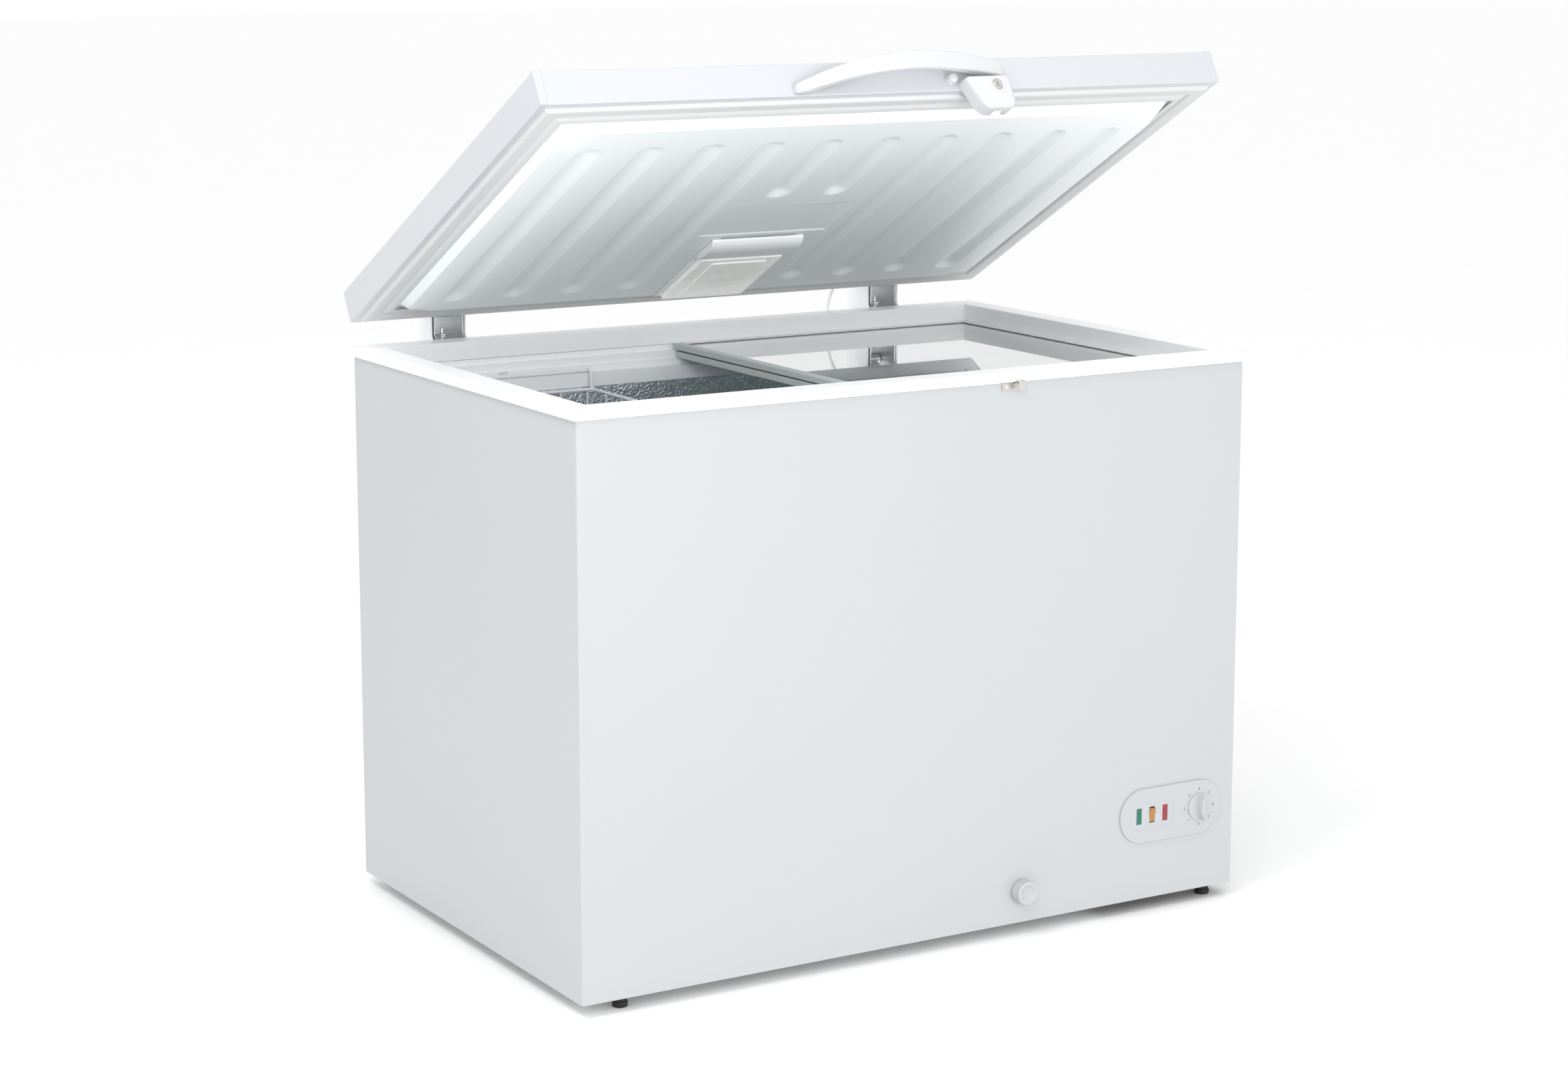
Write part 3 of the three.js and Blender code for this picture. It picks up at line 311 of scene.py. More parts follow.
def lathe(profile, centre, axis, sides=48):
    """(radius, height) points turned about an axis through a centre; the ends are closed flat."""
    profile = np.asarray(profile, float)
    angle = np.linspace(0, 2 * np.pi, sides, endpoint=False)
    across = profile[:, :1] * np.cos(angle)
    up = profile[:, :1] * np.sin(angle)
    along = np.broadcast_to(profile[:, 1:], across.shape)
    order = {"x": (along, across, up), "y": (across, along, up), "z": (across, up, along)}[axis]
    return skin_of(np.stack(order, -1) + np.asarray(centre, float))


# The cabinet's white enamel is a darker copy of the lid's same paint: painted shade, offsetting the strong
# front lamp on the cabinet.
cabinet_enamel_painted_shade = skinned("white_enamel", (0.487, 0.503, 0.517), (0.474, 0.489, 0.504), 0.3, 0.08, 900.0, 2.5, 0.06,
                 Coat_Weight=0.25, Coat_Roughness=0.12)
zinc = skinned("zinc_plate", (0.86, 0.87, 0.87), (0.76, 0.775, 0.785), 0.3, 0.15, 350.0, 60.0, 0.04,
               Metallic=0.9)
black_enamel = skinned("black_enamel", (0.014, 0.015, 0.017), (0.022, 0.023, 0.025), 0.38, 0.15,
                       500.0, 20.0, 0.1)
foot_rubber = skinned("black_rubber", (0.012, 0.012, 0.012), (0.022, 0.022, 0.021), 0.72, 0.1,
                      700.0, 40.0, 0.15)

rounded_copy("steel_shell", "outer_shell", cabinet_enamel_painted_shade, bevel=0.4)

# A hem stands a sheet's thickness proud up each back edge; its ends are drawn in slightly.
hem_wide, hem_proud, hem_from_side, hem_sunk = 16.0, 0.9, 3.0, -0.2
shell_half, shell_back = shell_high.x * 1000, cabinet_depth(shell_high.y)
hem_height = np.array([22.0, 22.6, 833.4, 834.0])[:, None]
hem_drawn_in = np.array([0.3, 0.0, 0.0, 0.3])[:, None]
hem_inner_edge = np.array([[0, 1, 1, 0]])
hem_x = shell_half - np.where(hem_inner_edge, hem_wide, hem_from_side) + hem_inner_edge * hem_drawn_in
hem_y = shell_back + hem_proud * np.array([[hem_sunk, hem_sunk, 1, 1]])
for side, sign in (("left", -1), ("right", 1)):
    hem = np.stack(np.broadcast_arrays(sign * hem_x, hem_y, hem_height), -1)
    new_piece(f"back_fold_{side}", skin_of(hem), cabinet_enamel_painted_shade, "cabinet", "white_steel", bevel=0.25)

rounded_copy("base_plate", "base_panel", zinc)
rounded_copy("compressor_tray", "compressor_base", black_enamel)

# Each foot is a pad with a rounded sole, a waist and a stem that pushes up into the base.
foot_profile = [(9.5, 0), (10.6, 0.6), (11, 2), (11, 7), (10.4, 8), (9.4, 8.4), (9.4, 16), (10.4, 16.6),
                (10.4, 19.7)]
for corner in ("left_front", "right_front", "left_rear", "right_rear"):
    foot_low, foot_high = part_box(f"foot_{corner}")
    foot_x = (foot_low.x + foot_high.x) / 2 * 1000
    foot_y = cabinet_depth((foot_low.y + foot_high.y) / 2)
    new_piece(f"rubber_foot_{corner}", lathe(foot_profile, (foot_x, foot_y, 0), "z"),
              foot_rubber, "cabinet", "foot_rubber", (f"foot_{corner}",))

# ---- Compressor bay ---------------------------------------------------------------------------
# A welded black compressor on four rubber grommets, its relay box, the copper drier and pipe.
# It all sits behind a white grille held by four screws; the mains lead leaves by a moulded gland.
copper = skinned("drawn_copper", (0.72, 0.36, 0.2), (0.45, 0.21, 0.12), 0.3, 0.3, 300.0, 35.0, 0.05,
                 Metallic=1.0)
black_plastic = skinned("black_plastic", (0.02, 0.021, 0.023), (0.03, 0.03, 0.032), 0.5, 0.1,
                        800.0, 30.0, 0.1)
rounded_copy("compressor_can", "compressor", black_enamel, bevel=1.0)
rounded_copy("relay_box", "start_relay", black_plastic, bevel=2.0, steps=3)
for number in range(1, 5):
    rounded_copy(f"rubber_grommet_{number}", f"motor_grommet_{number}", foot_rubber, bevel=1.0)
rounded_copy("copper_drier", "filter_drier", copper, bevel=0.6)
rounded_copy("copper_pipe", "discharge_pipe", copper, crease=60)
rounded_copy("cord_outlet", "cord_gland", black_plastic, bevel=0.5)
rounded_copy("compressor_grille", "rear_grille", cabinet_enamel_painted_shade, bevel=0.5)

# From the rim of a domed head inwards to the dip of its driver slot.
screw_head = [(3.4, -0.4), (3.4, 0.5), (2.9, 1.3), (1.9, 1.8), (1.4, 1.8), (1.1, 0.9), (0.5, 0.8)]


def screws(points, profile=screw_head, axis="y"):
    """Pan-head screws standing on the given points: one small turned profile at each."""
    return together(*(lathe(profile, point, axis, 20) for point in points))


grille_low, grille_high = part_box("rear_grille")
screw_inset = 7.0
new_piece("grille_screws", screws([
    (x, cabinet_depth(grille_high.y), z)
    for x in (grille_low.x * 1000 + screw_inset, grille_high.x * 1000 - screw_inset)
    for z in (grille_low.z * 1000 + screw_inset, grille_high.z * 1000 - screw_inset)]),
    zinc, "cabinet", "zinc_steel")

# ---- Foam, cooling coil and tub ---------------------------------------------------------------
# Cream foam is blown between the shell and the tub and grips a copper coil. The tub is thin
# aluminium, rolled with a stucco pattern that scatters the light.
foam = skinned("blown_foam", (0.72, 0.58, 0.32), (0.6, 0.46, 0.22), 0.95, 0.05, 260.0, 25.0, 0.6, 0.002)

# The stucco's dimples are rounded cells; a noise pushes their places about by a few millimetres.
dimple_scale, dimple_depth, dimple_push = 270.0, 0.0011, 0.006
stucco, stucco_tree, stucco_shader = new_material("stucco_aluminium", Metallic=1.0)
stucco_spot = node(stucco_tree, "TexCoord")
stucco_bend = node(stucco_tree, "TexNoise", Scale=220.0, Detail=1.0)
stucco_push = node(stucco_tree, "VectorMath", operation="MULTIPLY_ADD")
stucco_push.inputs[1].default_value = (dimple_push,) * 3
stucco_cells = node(stucco_tree, "TexVoronoi", feature="SMOOTH_F1", Scale=dimple_scale, Smoothness=0.6,
                    Randomness=1.0)
stucco_relief = node(stucco_tree, "Bump", Strength=0.9, Distance=dimple_depth)
stucco_tone = node(stucco_tree, "ValToRGB")
stucco_tone.color_ramp.elements[0].color = (0.9, 0.94, 0.97, 1)
stucco_tone.color_ramp.elements[1].color = (0.78, 0.83, 0.86, 1)
stucco_rough = node(stucco_tree, "MapRange", To_Min=0.28, To_Max=0.42)
wire_up(stucco_tree,
        (stucco_spot.outputs["Object"], stucco_bend.inputs["Vector"]),
        (stucco_bend.outputs["Color"], stucco_push.inputs[0]),
        (stucco_spot.outputs["Object"], stucco_push.inputs[2]),
        (stucco_push.outputs[0], stucco_cells.inputs["Vector"]),
        (stucco_cells.outputs["Distance"], stucco_relief.inputs["Height"]),
        (stucco_cells.outputs["Distance"], stucco_tone.inputs["Fac"]),
        (stucco_cells.outputs["Distance"], stucco_rough.inputs["Value"]),
        (stucco_tone.outputs["Color"], stucco_shader.inputs["Base Color"]),
        (stucco_rough.outputs["Result"], stucco_shader.inputs["Roughness"]),
        (stucco_relief.outputs["Normal"], stucco_shader.inputs["Normal"]))
rounded_copy("foam_filling", "foam_tub", foam)
rounded_copy("cooling_coil", "evaporator_coil", copper)
rounded_copy("stucco_tub", "inner_liner", stucco, bevel=0.3, steps=1)

# ---- Rim and rails ----------------------------------------------------------------------------
# The rim is an extruded white plastic frame that clips over the steel and the tub. Its four lengths
# are welded at mitred corners. Inside it, stepped rails carry the two glass lids and the basket.
# The rim's white plastic is set far lighter than the moulded and handle copies of the same plastic: painted
# light on the rim's lit top.
plastic = skinned("white_plastic", (0.93, 0.94, 0.95), (0.915, 0.925, 0.935), 0.32, 0.08, 700.0, 6.0, 0.05)
clear_plastic = skinned("clear_plastic", (0.95, 0.96, 0.95), (0.9, 0.915, 0.905), 0.06, 0.04,
                        26.0, 12.0, 0.7, 0.006, Alpha=0.72, IOR=1.49, Coat_Weight=1.0, Coat_Roughness=0.03)


def softened(points, radius, steps=4, closed=True):
    """An outline whose corners are drawn as short curves, each a blend of the corner and its two cuts.
    A cut lies the radius away from the corner, or 0.45 of the side where the side is short."""
    points = np.asarray(points, float)
    before = points - np.roll(points, 1, 0)
    after = np.roll(points, -1, 0) - points
    reach_in = np.minimum(radius, np.linalg.norm(before, axis=1) * 0.45)[:, None]
    reach_out = np.minimum(radius, np.linalg.norm(after, axis=1) * 0.45)[:, None]
    start = points - before / np.linalg.norm(before, axis=1)[:, None] * reach_in
    end = points + after / np.linalg.norm(after, axis=1)[:, None] * reach_out
    t = np.linspace(0, 1, steps + 1)[None, :, None]
    curves = (1 - t) ** 2 * start[:, None] + 2 * t * (1 - t) * points[:, None] + t ** 2 * end[:, None]
    if closed:
        return curves.reshape(-1, points.shape[1])
    return np.concatenate([points[:1], curves[1:-1].reshape(-1, points.shape[1]), points[-1:]])


def carried_round(profile, corner, smallest=0.4, steps=5, middle=(0, 0)):
    """A profile of (half width, half depth, height) points carried round a rectangle; each point's
    own loop has corners of the outer radius less how far it lies inside, never under the smallest."""
    profile = np.asarray(profile, float)
    inside = profile[:, 0].max() - profile[:, 0]
    radius = np.maximum(corner - inside, smallest)[:, None, None]
    turn = np.linspace(0, np.pi / 2, steps + 1)
    quarter = np.arange(4) * np.pi / 2
    angle = quarter[:, None] + turn
    sign_x, sign_y = np.array([1, -1, -1, 1]), np.array([1, 1, -1, -1])
    x = sign_x[:, None] * (profile[:, 0, None, None] - radius) + radius * np.cos(angle) + middle[0]
    y = sign_y[:, None] * (profile[:, 1, None, None] - radius) + radius * np.sin(angle) + middle[1]
    z = np.broadcast_to(profile[:, 2, None, None], x.shape)
    return np.stack([x, y, z], -1).reshape(len(profile), -1, 3)


rim_half_x, rim_half_y, rim_foot, rim_top = 570.0, 375.0, 835.0, 850.0
mouth_half_x, mouth_half_y, lip_foot = 532.0, 333.0, 821.0
lip_thick, skirt_thick, rim_underside = 2.7, 4.6, 837.8
rim_profile = softened([
    (rim_half_x, rim_half_y, rim_foot), (rim_half_x, rim_half_y, rim_top),
    (mouth_half_x, mouth_half_y, rim_top), (mouth_half_x, mouth_half_y, lip_foot),
    (mouth_half_x + lip_thick, mouth_half_y + lip_thick, lip_foot),
    (mouth_half_x + lip_thick, mouth_half_y + lip_thick, rim_underside),
    (rim_half_x - skirt_thick, rim_half_y - skirt_thick, rim_underside),
    (rim_half_x - skirt_thick, rim_half_y - skirt_thick, rim_foot)], 1.6)
new_piece("rim_frame", skin_of(carried_round(rim_profile, 1.5), close=True), plastic, "cabinet",
          "white_plastic", ("top_rim",))


def tube(path, radius, reference, closed=False, sides=10):
    """A round wire along a path: circles square to the path's direction, set out from a reference."""
    path = np.asarray(path, float)
    ahead_of = np.roll(path, -1, 0) - np.roll(path, 1, 0)
    if not closed:
        ahead_of[0], ahead_of[-1] = path[1] - path[0], path[-1] - path[-2]
    ahead_of /= np.linalg.norm(ahead_of, axis=1)[:, None]
    side = np.cross(ahead_of, reference)
    side /= np.linalg.norm(side, axis=1)[:, None]
    up = np.cross(side, ahead_of)
    angle = np.linspace(0, 2 * np.pi, sides, endpoint=False)[None, :, None]
    ring = path[:, None] + radius * (np.cos(angle) * side[:, None] + np.sin(angle) * up[:, None])
    return skin_of(ring, close=closed)


# A weld's fine bead runs from the mouth to the outer corner and down it, almost wholly sunk in.
mitre_weld = skinned("mitre_weld", (0.42, 0.38, 0.32), (0.5, 0.47, 0.41), 0.5, 0.1, 400.0, 60.0, 0.1)
bead_radius, bead_height, bead_foot = 0.38, rim_top - 0.15, rim_foot + 0.4
bead_path = softened([(mouth_half_x + 0.4, mouth_half_y + 0.4, bead_height),
                      (rim_half_x - 0.8, rim_half_y - 0.8, bead_height),
                      (rim_half_x - 0.8, rim_half_y - 0.8, bead_foot)], 1.2, 6, closed=False)
new_piece("rim_mitres", together(*(
    tube(bead_path * (sign_x, sign_y, 1), bead_radius, (sign_x, -sign_y, 0), sides=8)
    for sign_x in (-1, 1) for sign_y in (-1, 1))), mitre_weld, "cabinet", "white_plastic", even=False)
rounded_copy("stepped_rails", "slide_rail_frame", plastic, bevel=0.9, steps=3)
rounded_copy("clear_rail_clip", "rail_clip", clear_plastic, bevel=0.3)

# ---- Drain ------------------------------------------------------------------------------------
# Meltwater runs through a white moulded pipe in the foam to the front of the cabinet. A moulded
# cap closes the pipe's mouth; its rim is ribbed for the fingers.
# The moulded plastic is a darker copy of the rim's white plastic: painted shade, offsetting the front lamp on
# the drain cap, panel plate and knob.
moulded = skinned("moulded_plastic_painted_shade", (0.485, 0.497, 0.513), (0.47, 0.482, 0.498), 0.36, 0.08,
                  800.0, 8.0, 0.06)
rounded_copy("drain_pipe", "drain_tube", plastic, bevel=0.5)

# From the dished face outwards, back along the rim and into the hollow that takes the pipe.
cap_profile = [(0.5, 4.2), (6, 4), (10, 3.2), (11.6, 1.6), (12.6, 0.4), (13.6, 0), (16, 0), (17.2, 0.5),
               (18, 1.8), (18, 4), (18, 16.4), (10.9, 16.4), (10.9, 6)]
cap_ribs, rib_deep, ribbed_beyond = 36, 0.45, 17.9
cap_low, cap_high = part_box("drain_cap")
cap_x, cap_z = (cap_low.x + cap_high.x) / 2 * 1000, (cap_low.z + cap_high.z) / 2 * 1000
cap_points, cap_faces = lathe(cap_profile, (cap_x, cabinet_depth(cap_low.y), cap_z), "y", 4 * cap_ribs)
cap_ray = (cap_points - (cap_x, 0, cap_z)) * (1, 0, 1)
cap_radius = np.linalg.norm(cap_ray, axis=1)[:, None]
cap_wave = 0.5 + 0.5 * np.cos(cap_ribs * np.arctan2(cap_ray[:, 2], cap_ray[:, 0]))[:, None]
cap_points = cap_points - np.where(cap_radius > ribbed_beyond, rib_deep * cap_wave, 0) * cap_ray / cap_radius
new_piece("drain_screw_cap", (cap_points, cap_faces), moulded, "drain_cap", "white_plastic", ("drain_cap",),
          crease=40)

# ---- Lock keeper ------------------------------------------------------------------------------
# A tongue folded from nickel-plated steel strip, which the lock's claw catches. One cross-head
# screw holds it to the front of the cabinet.
nickel = skinned("satin_nickel", (0.74, 0.71, 0.675), (0.6, 0.575, 0.545), 0.28, 0.12, 420.0, 90.0, 0.08,
                 Metallic=1.0)
rounded_copy("lock_keeper", "lock_catch", nickel, bevel=0.5)
rounded_copy("keeper_screw", "catch_screw", zinc, bevel=0.2)

# ---- Control panel ----------------------------------------------------------------------------
# A white moulded plate with a green lamp, an amber rocker and a red lamp in a shallow inset,
# and a round dial printed with the numbers 0 to 7. Switch and thermostat clip on behind it.
rounded_copy("panel_plate", "control_panel", moulded, bevel=0.7, steps=3)
rounded_copy("switch_box", "switch_block", black_plastic, bevel=1.0)
rounded_copy("thermostat_can", "thermostat_body", zinc, bevel=1.0)


def tinted(name, colour, glow):
    """Coloured clear plastic, ribbed inside: narrow waves lighten the colour and bump it."""
    made, tree, shader = new_material(name, Roughness=0.18, IOR=1.49, Coat_Weight=0.4, Coat_Roughness=0.05)
    where = node(tree, "TexCoord")
    waves = node(tree, "TexWave", wave_type="BANDS", bands_direction="Z", Scale=260.0, Distortion=1.5)
    tones = node(tree, "ValToRGB")
    tones.color_ramp.elements[0].color = (*(c * 0.8 for c in colour), 1)
    tones.color_ramp.elements[1].color = (*(min(1, c * 1.25 + glow) for c in colour), 1)
    relief = node(tree, "Bump", Strength=0.15, Distance=0.0003)
    wire_up(tree,
            (where.outputs["Object"], waves.inputs["Vector"]),
            (waves.outputs["Fac"], tones.inputs["Fac"]),
            (tones.outputs["Color"], shader.inputs["Base Color"]),
            (waves.outputs["Fac"], relief.inputs["Height"]),
            (relief.outputs["Normal"], shader.inputs["Normal"]))
    return made


rounded_copy("green_lamp", "power_lens", tinted("green_lens", (0.0, 0.14, 0.09), 0.005), bevel=0.5)
rounded_copy("red_lamp", "alarm_lens", tinted("red_lens", (0.27, 0.016, 0.022), 0.005), bevel=0.5)
rounded_copy("amber_rocker_key", "fast_freeze_rocker", tinted("amber_lens", (0.38, 0.175, 0.02), 0.01),
             bevel=0.4)

# The numbers are printed round the dial, 0 at its foot and the rest clockwise, an eighth turn apart.
print_ink = skinned("grey_print", (0.045, 0.05, 0.055), (0.07, 0.075, 0.08), 0.6, 0.05)
digit_size, digit_ring, digit_proud, ink_thick = 6.4, 27.5, 0.05, 0.04
dial_low, dial_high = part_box("thermostat_knob")
dial_x, dial_z = (dial_low.x + dial_high.x) * 500, (dial_low.z + dial_high.z) * 500
plate_face = cabinet_depth(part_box("control_panel")[0].y)
numerals = []
for digit in range(8):
    text = bpy.data.curves.new(f"digit_{digit}", "FONT")
    text.body = str(digit)
    text.size = digit_size
    text.align_x, text.align_y = "CENTER", "CENTER"
    drawn = bpy.data.objects.new(f"digit_{digit}", text)
    bpy.context.scene.collection.objects.link(drawn)
    flat = bpy.data.meshes.new_from_object(drawn.evaluated_get(bpy.context.evaluated_depsgraph_get()))
    corners = np.array([v.co for v in flat.vertices])
    angle = math.radians(-90 - 45 * digit)
    numerals.append((np.stack([corners[:, 0] + dial_x + digit_ring * math.cos(angle),
                               np.full(len(corners), plate_face - digit_proud),
                               corners[:, 1] + dial_z + digit_ring * math.sin(angle)], -1),
                     [list(face.vertices) for face in flat.polygons]))
    bpy.data.objects.remove(drawn)
numbers = new_piece("dial_numbers", together(*numerals), print_ink, "cabinet", "black_plastic", even=False)
printed = numbers.modifiers.new("ink", "SOLIDIFY")
printed.thickness = ink_thick / 1000

# The knob is a disc with a bar across it, lens-shaped and drawn in towards its front.
disc_proud = 2.8
dial_face = plate_face - disc_proud


def grip_loop(y, half_length, half_width, count=48):
    """A lens-shaped loop: half width times one less the square of how far along the point lies."""
    angle = np.linspace(0, 2 * np.pi, count, endpoint=False)
    along = np.cos(angle)
    side = np.sin(angle)
    return np.stack([dial_x + half_width * np.sign(side) * (1 - along ** 2) + 0.01 * side,
                     np.full(count, y), dial_z + half_length * along], -1)


knob_disc = lathe([(0.5, 0), (19.6, 0), (20.5, 0.25), (21, 1), (21, 2.5), (3.6, 2.5), (3.6, 7.2), (0.5, 7.2)],
                  (dial_x, dial_face, dial_z), "y", 96)
knob_grip = skin_of(np.stack([
    grip_loop(dial_face - forward, half_length, half_width) for forward, half_length, half_width in (
        (-1, 19.9, 5.2), (4, 19.7, 4.6), (9.4, 19.0, 3.6), (11.0, 18.2, 2.6), (11.5, 17.0, 1.2))]))
new_piece("dial_knob", together(knob_disc, knob_grip), moulded, "thermostat_knob", "white_plastic",
          ("thermostat_knob",), crease=40)

# ---- Glass lids -------------------------------------------------------------------------------
# Two toughened glass panes that slide one over the other in the stepped rails. Each is pushed into
# plastic edging, which is a wide grey grip along the left edge and white on the other sides.
pane_glass = skinned("float_glass", (0.93, 0.985, 0.965), (0.9, 0.975, 0.95), 0.01, 0.01, 200.0, 8.0, 0.0,
                     Transmission_Weight=1.0, IOR=1.6, Coat_Weight=1.0, Coat_Roughness=0.01)
grip_grey = (0.52, 0.56, 0.545, 1)
grip_wide = 0.0165
grip_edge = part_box("upper_glass_trim")[0].x + grip_wide


def edging(name, split):
    """Plastic edging that is grey-green left of a line across the pane and white beyond it."""
    made = skinned(name, (0.8, 0.82, 0.82), (0.76, 0.785, 0.785), 0.35, 0.08, 600.0, 20.0, 0.05)
    tree = made.node_tree
    shader = tree.nodes["Principled BSDF"]
    white = shader.inputs["Base Color"].links[0].from_socket
    where = node(tree, "TexCoord")
    apart = node(tree, "SeparateXYZ")
    beyond = node(tree, "Math", operation="GREATER_THAN")
    beyond.inputs[1].default_value = split
    tones = node(tree, "Mix", data_type="RGBA")
    tones.inputs[first_tone].default_value = grip_grey
    wire_up(tree,
            (where.outputs["Object"], apart.inputs[0]),
            (apart.outputs["X"], beyond.inputs[0]),
            (beyond.outputs[0], tones.inputs[0]),
            (white, tones.inputs[second_tone]),
            (tones.outputs[mixed_tone], shader.inputs["Base Color"]))
    return made


for level in ("upper", "lower"):
    rounded_copy(f"{level}_pane", f"{level}_glass", pane_glass, bevel=0.5)
    rounded_copy(f"{level}_edging", f"{level}_glass_trim", edging(f"{level}_edging", grip_edge),
                 bevel=1.2, steps=3)

# ---- Wire basket ------------------------------------------------------------------------------
# Steel wire, spot-welded at its crossings and dipped in white plastic. Two thicker hangers, welded
# to the top wire and bent outwards, rest on the rails.
coated = skinned("dipped_wire", (0.86, 0.875, 0.9), (0.82, 0.835, 0.86), 0.3, 0.08, 500.0, 60.0, 0.1)
basket_left, basket_right, basket_half_y = -495.0, -195.0, 296.5
basket_top, basket_floor, basket_taper = 765.0, 560.0, 8.0
foot_left, foot_right, foot_half_y = basket_left + basket_taper, basket_right - basket_taper, 288.5
top_wire, foot_wire, mesh_wire, hanger_wire = 2.7, 1.6, 1.5, 3.0       # radii
wires_across, wires_along, wire_below = 7, 11, 2.4


def four_corners(x_from, x_to, half_y, z):
    """A level rectangle's corners, front left first."""
    return [(x_from, -half_y, z), (x_to, -half_y, z), (x_to, half_y, z), (x_from, half_y, z)]


wires = [
    tube(softened(four_corners(basket_left, basket_right, basket_half_y, basket_top), 12, 6),
         top_wire, (0, 0, 1), closed=True),
    tube(softened(four_corners(foot_left, foot_right, foot_half_y, basket_floor), 12, 6),
         foot_wire, (0, 0, 1), closed=True)]
for x in np.linspace(foot_left, foot_right, wires_across):
    bent = softened([(x, -basket_half_y, basket_top), (x, -foot_half_y, basket_floor),
                     (x, foot_half_y, basket_floor), (x, basket_half_y, basket_top)], 8, 5, closed=False)
    wires.append(tube(bent, mesh_wire, (1, 0, 0)))
for y in np.linspace(-basket_half_y, basket_half_y, wires_along + 2)[1:-1]:
    bent = softened([(basket_left, y, basket_top), (foot_left, y, basket_floor - wire_below),
                     (foot_right, y, basket_floor - wire_below), (basket_right, y, basket_top)],
                    8, 5, closed=False)
    wires.append(tube(bent, mesh_wire, (0, 1, 0)))
hanger_left, hanger_top = basket_left + 3, 793.3
weld_y, knee_y, rest_y = 297, 299.5, 311.5           # at the top wire, above it, and on the rail
for side in (-1, 1):
    bent = softened([
        (hanger_left, side * weld_y, basket_top), (hanger_left, side * knee_y, hanger_top),
        (hanger_left, side * rest_y, hanger_top), (basket_right, side * rest_y, hanger_top),
        (basket_right, side * knee_y, hanger_top), (basket_right, side * weld_y, basket_top)],
        6, 6, closed=False)
    wires.append(tube(bent, hanger_wire, (0.31, -side * 0.77, 0.55), sides=14))
new_piece("wire_basket", together(*wires), coated, "basket", "coated_wire", ("basket",), even=False,
          crease=60)

# ---- Hinges -----------------------------------------------------------------------------------
# Each hinge is a zinc-plated channel screwed to the back under a white cover, which one screw holds.
# A rod in a coil spring takes the lid's weight, and a leaf on the lid turns on a headed pin.
spring_y, spring_foot, spring_tall, spring_radius, spring_wire = 408, 782, 70, 8, 1.6
spring_turns, points_a_turn = 9, 20
rod_profile = [(2.6, 778), (3, 778.4), (3, 863), (2.4, 864)]
washer_profile = [(10.5, 852), (10.5, 854.5), (5, 855.5)]
cover_screw_height = 822
for side, hinge_x in (("left", -400.0), ("right", 400.0)):
    rounded_copy(f"hinge_channel_{side}", f"hinge_bracket_{side}", zinc, bevel=0.4)
    rounded_copy(f"hinge_axle_{side}", f"hinge_pin_{side}", zinc, bevel=0.5)
    rounded_copy(f"hinge_shroud_{side}", f"hinge_cover_{side}", plastic, bevel=1.2, steps=3)
    rounded_copy(f"hinge_arm_{side}", f"hinge_leaf_{side}", zinc, bevel=0.4)
    turns = np.linspace(0, spring_turns * 2 * np.pi, spring_turns * points_a_turn)
    coil = np.stack([hinge_x + spring_radius * np.cos(turns), spring_y + spring_radius * np.sin(turns),
                     spring_foot + spring_tall * turns / turns[-1]], -1)
    new_piece(f"hinge_spring_{side}", together(
        tube(coil, spring_wire, (0, 0, 1), sides=8),
        lathe(rod_profile, (hinge_x, spring_y, 0), "z", 24),
        lathe(washer_profile, (hinge_x, spring_y, 0), "z", 32)),
        zinc, "cabinet", "zinc_steel", even=False, crease=50)
    cover_back = cabinet_depth(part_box(f"hinge_cover_{side}")[1].y)
    new_piece(f"hinge_cover_screw_{side}", screws([(hinge_x, cover_back, cover_screw_height)]),
              zinc, "cabinet", "zinc_steel")


# ---- Lid --------------------------------------------------------------------------------------
# A pressed steel top, baked white, is folded in under its edge, lapped over at both ends and filled
# with foam. A vacuum-formed inner panel with ten stiffening grooves closes it, and a soft seal runs
# round the panel's flange.
lid_joint = next(j for j in frame["joints"] if j["name"] == "lid_hinge")
hinge_line = np.array(lid_joint["pos_m"])
lid_angle = -math.radians(lid_joint["range_deg"][0])


def on_lid(points):
    """Closed-lid millimetres to frame metres: turned back about the hinge line by the resting angle."""
    shut = on_cabinet(points) - hinge_line
    c, s = math.cos(lid_angle), math.sin(lid_angle)
    return np.stack([shut[:, 0], c * shut[:, 1] + s * shut[:, 2], c * shut[:, 2] - s * shut[:, 1]],
                    -1) + hinge_line


lid_half_x, lid_half_y, lid_foot, lid_top = 571.0, 375.5, 856.0, 906.5
lid_middle, sheet, folded_in, top_edge = (0, -0.5), 1.0, 12.0, 9.0


def from_lid_edge(inset, height):
    """A (half width, half depth, height) point of a profile, so far in from the lid's edge."""
    return lid_half_x - inset, lid_half_y - inset, height


skin_profile = np.concatenate([
    [from_lid_edge(sheet, lid_top - sheet), from_lid_edge(sheet, lid_foot + sheet),
     from_lid_edge(folded_in, lid_foot + sheet)],
    softened([from_lid_edge(folded_in, lid_foot), from_lid_edge(0, lid_foot), from_lid_edge(0, lid_top),
              from_lid_edge(top_edge, lid_top)], 2.4, 5, closed=False)])
# The lid's enamel is a lighter, bluer copy of the cabinet's white enamel: painted light on the lid's lit top
# and sides.
lid_enamel_painted_light = skinned("lid_white_enamel_painted_light", (0.555, 0.567, 0.597), (0.542, 0.555, 0.584), 0.3, 0.08, 900.0,
                     2.5, 0.06, Coat_Weight=0.25, Coat_Roughness=0.12)
new_piece("lid_steel_top", skin_of(carried_round(skin_profile, 3.0, middle=lid_middle)), lid_enamel_painted_light, "lid",
          "white_steel", ("lid_skin",), place=on_lid)
rounded_copy("lid_foam_filling", "lid_foam", foam)


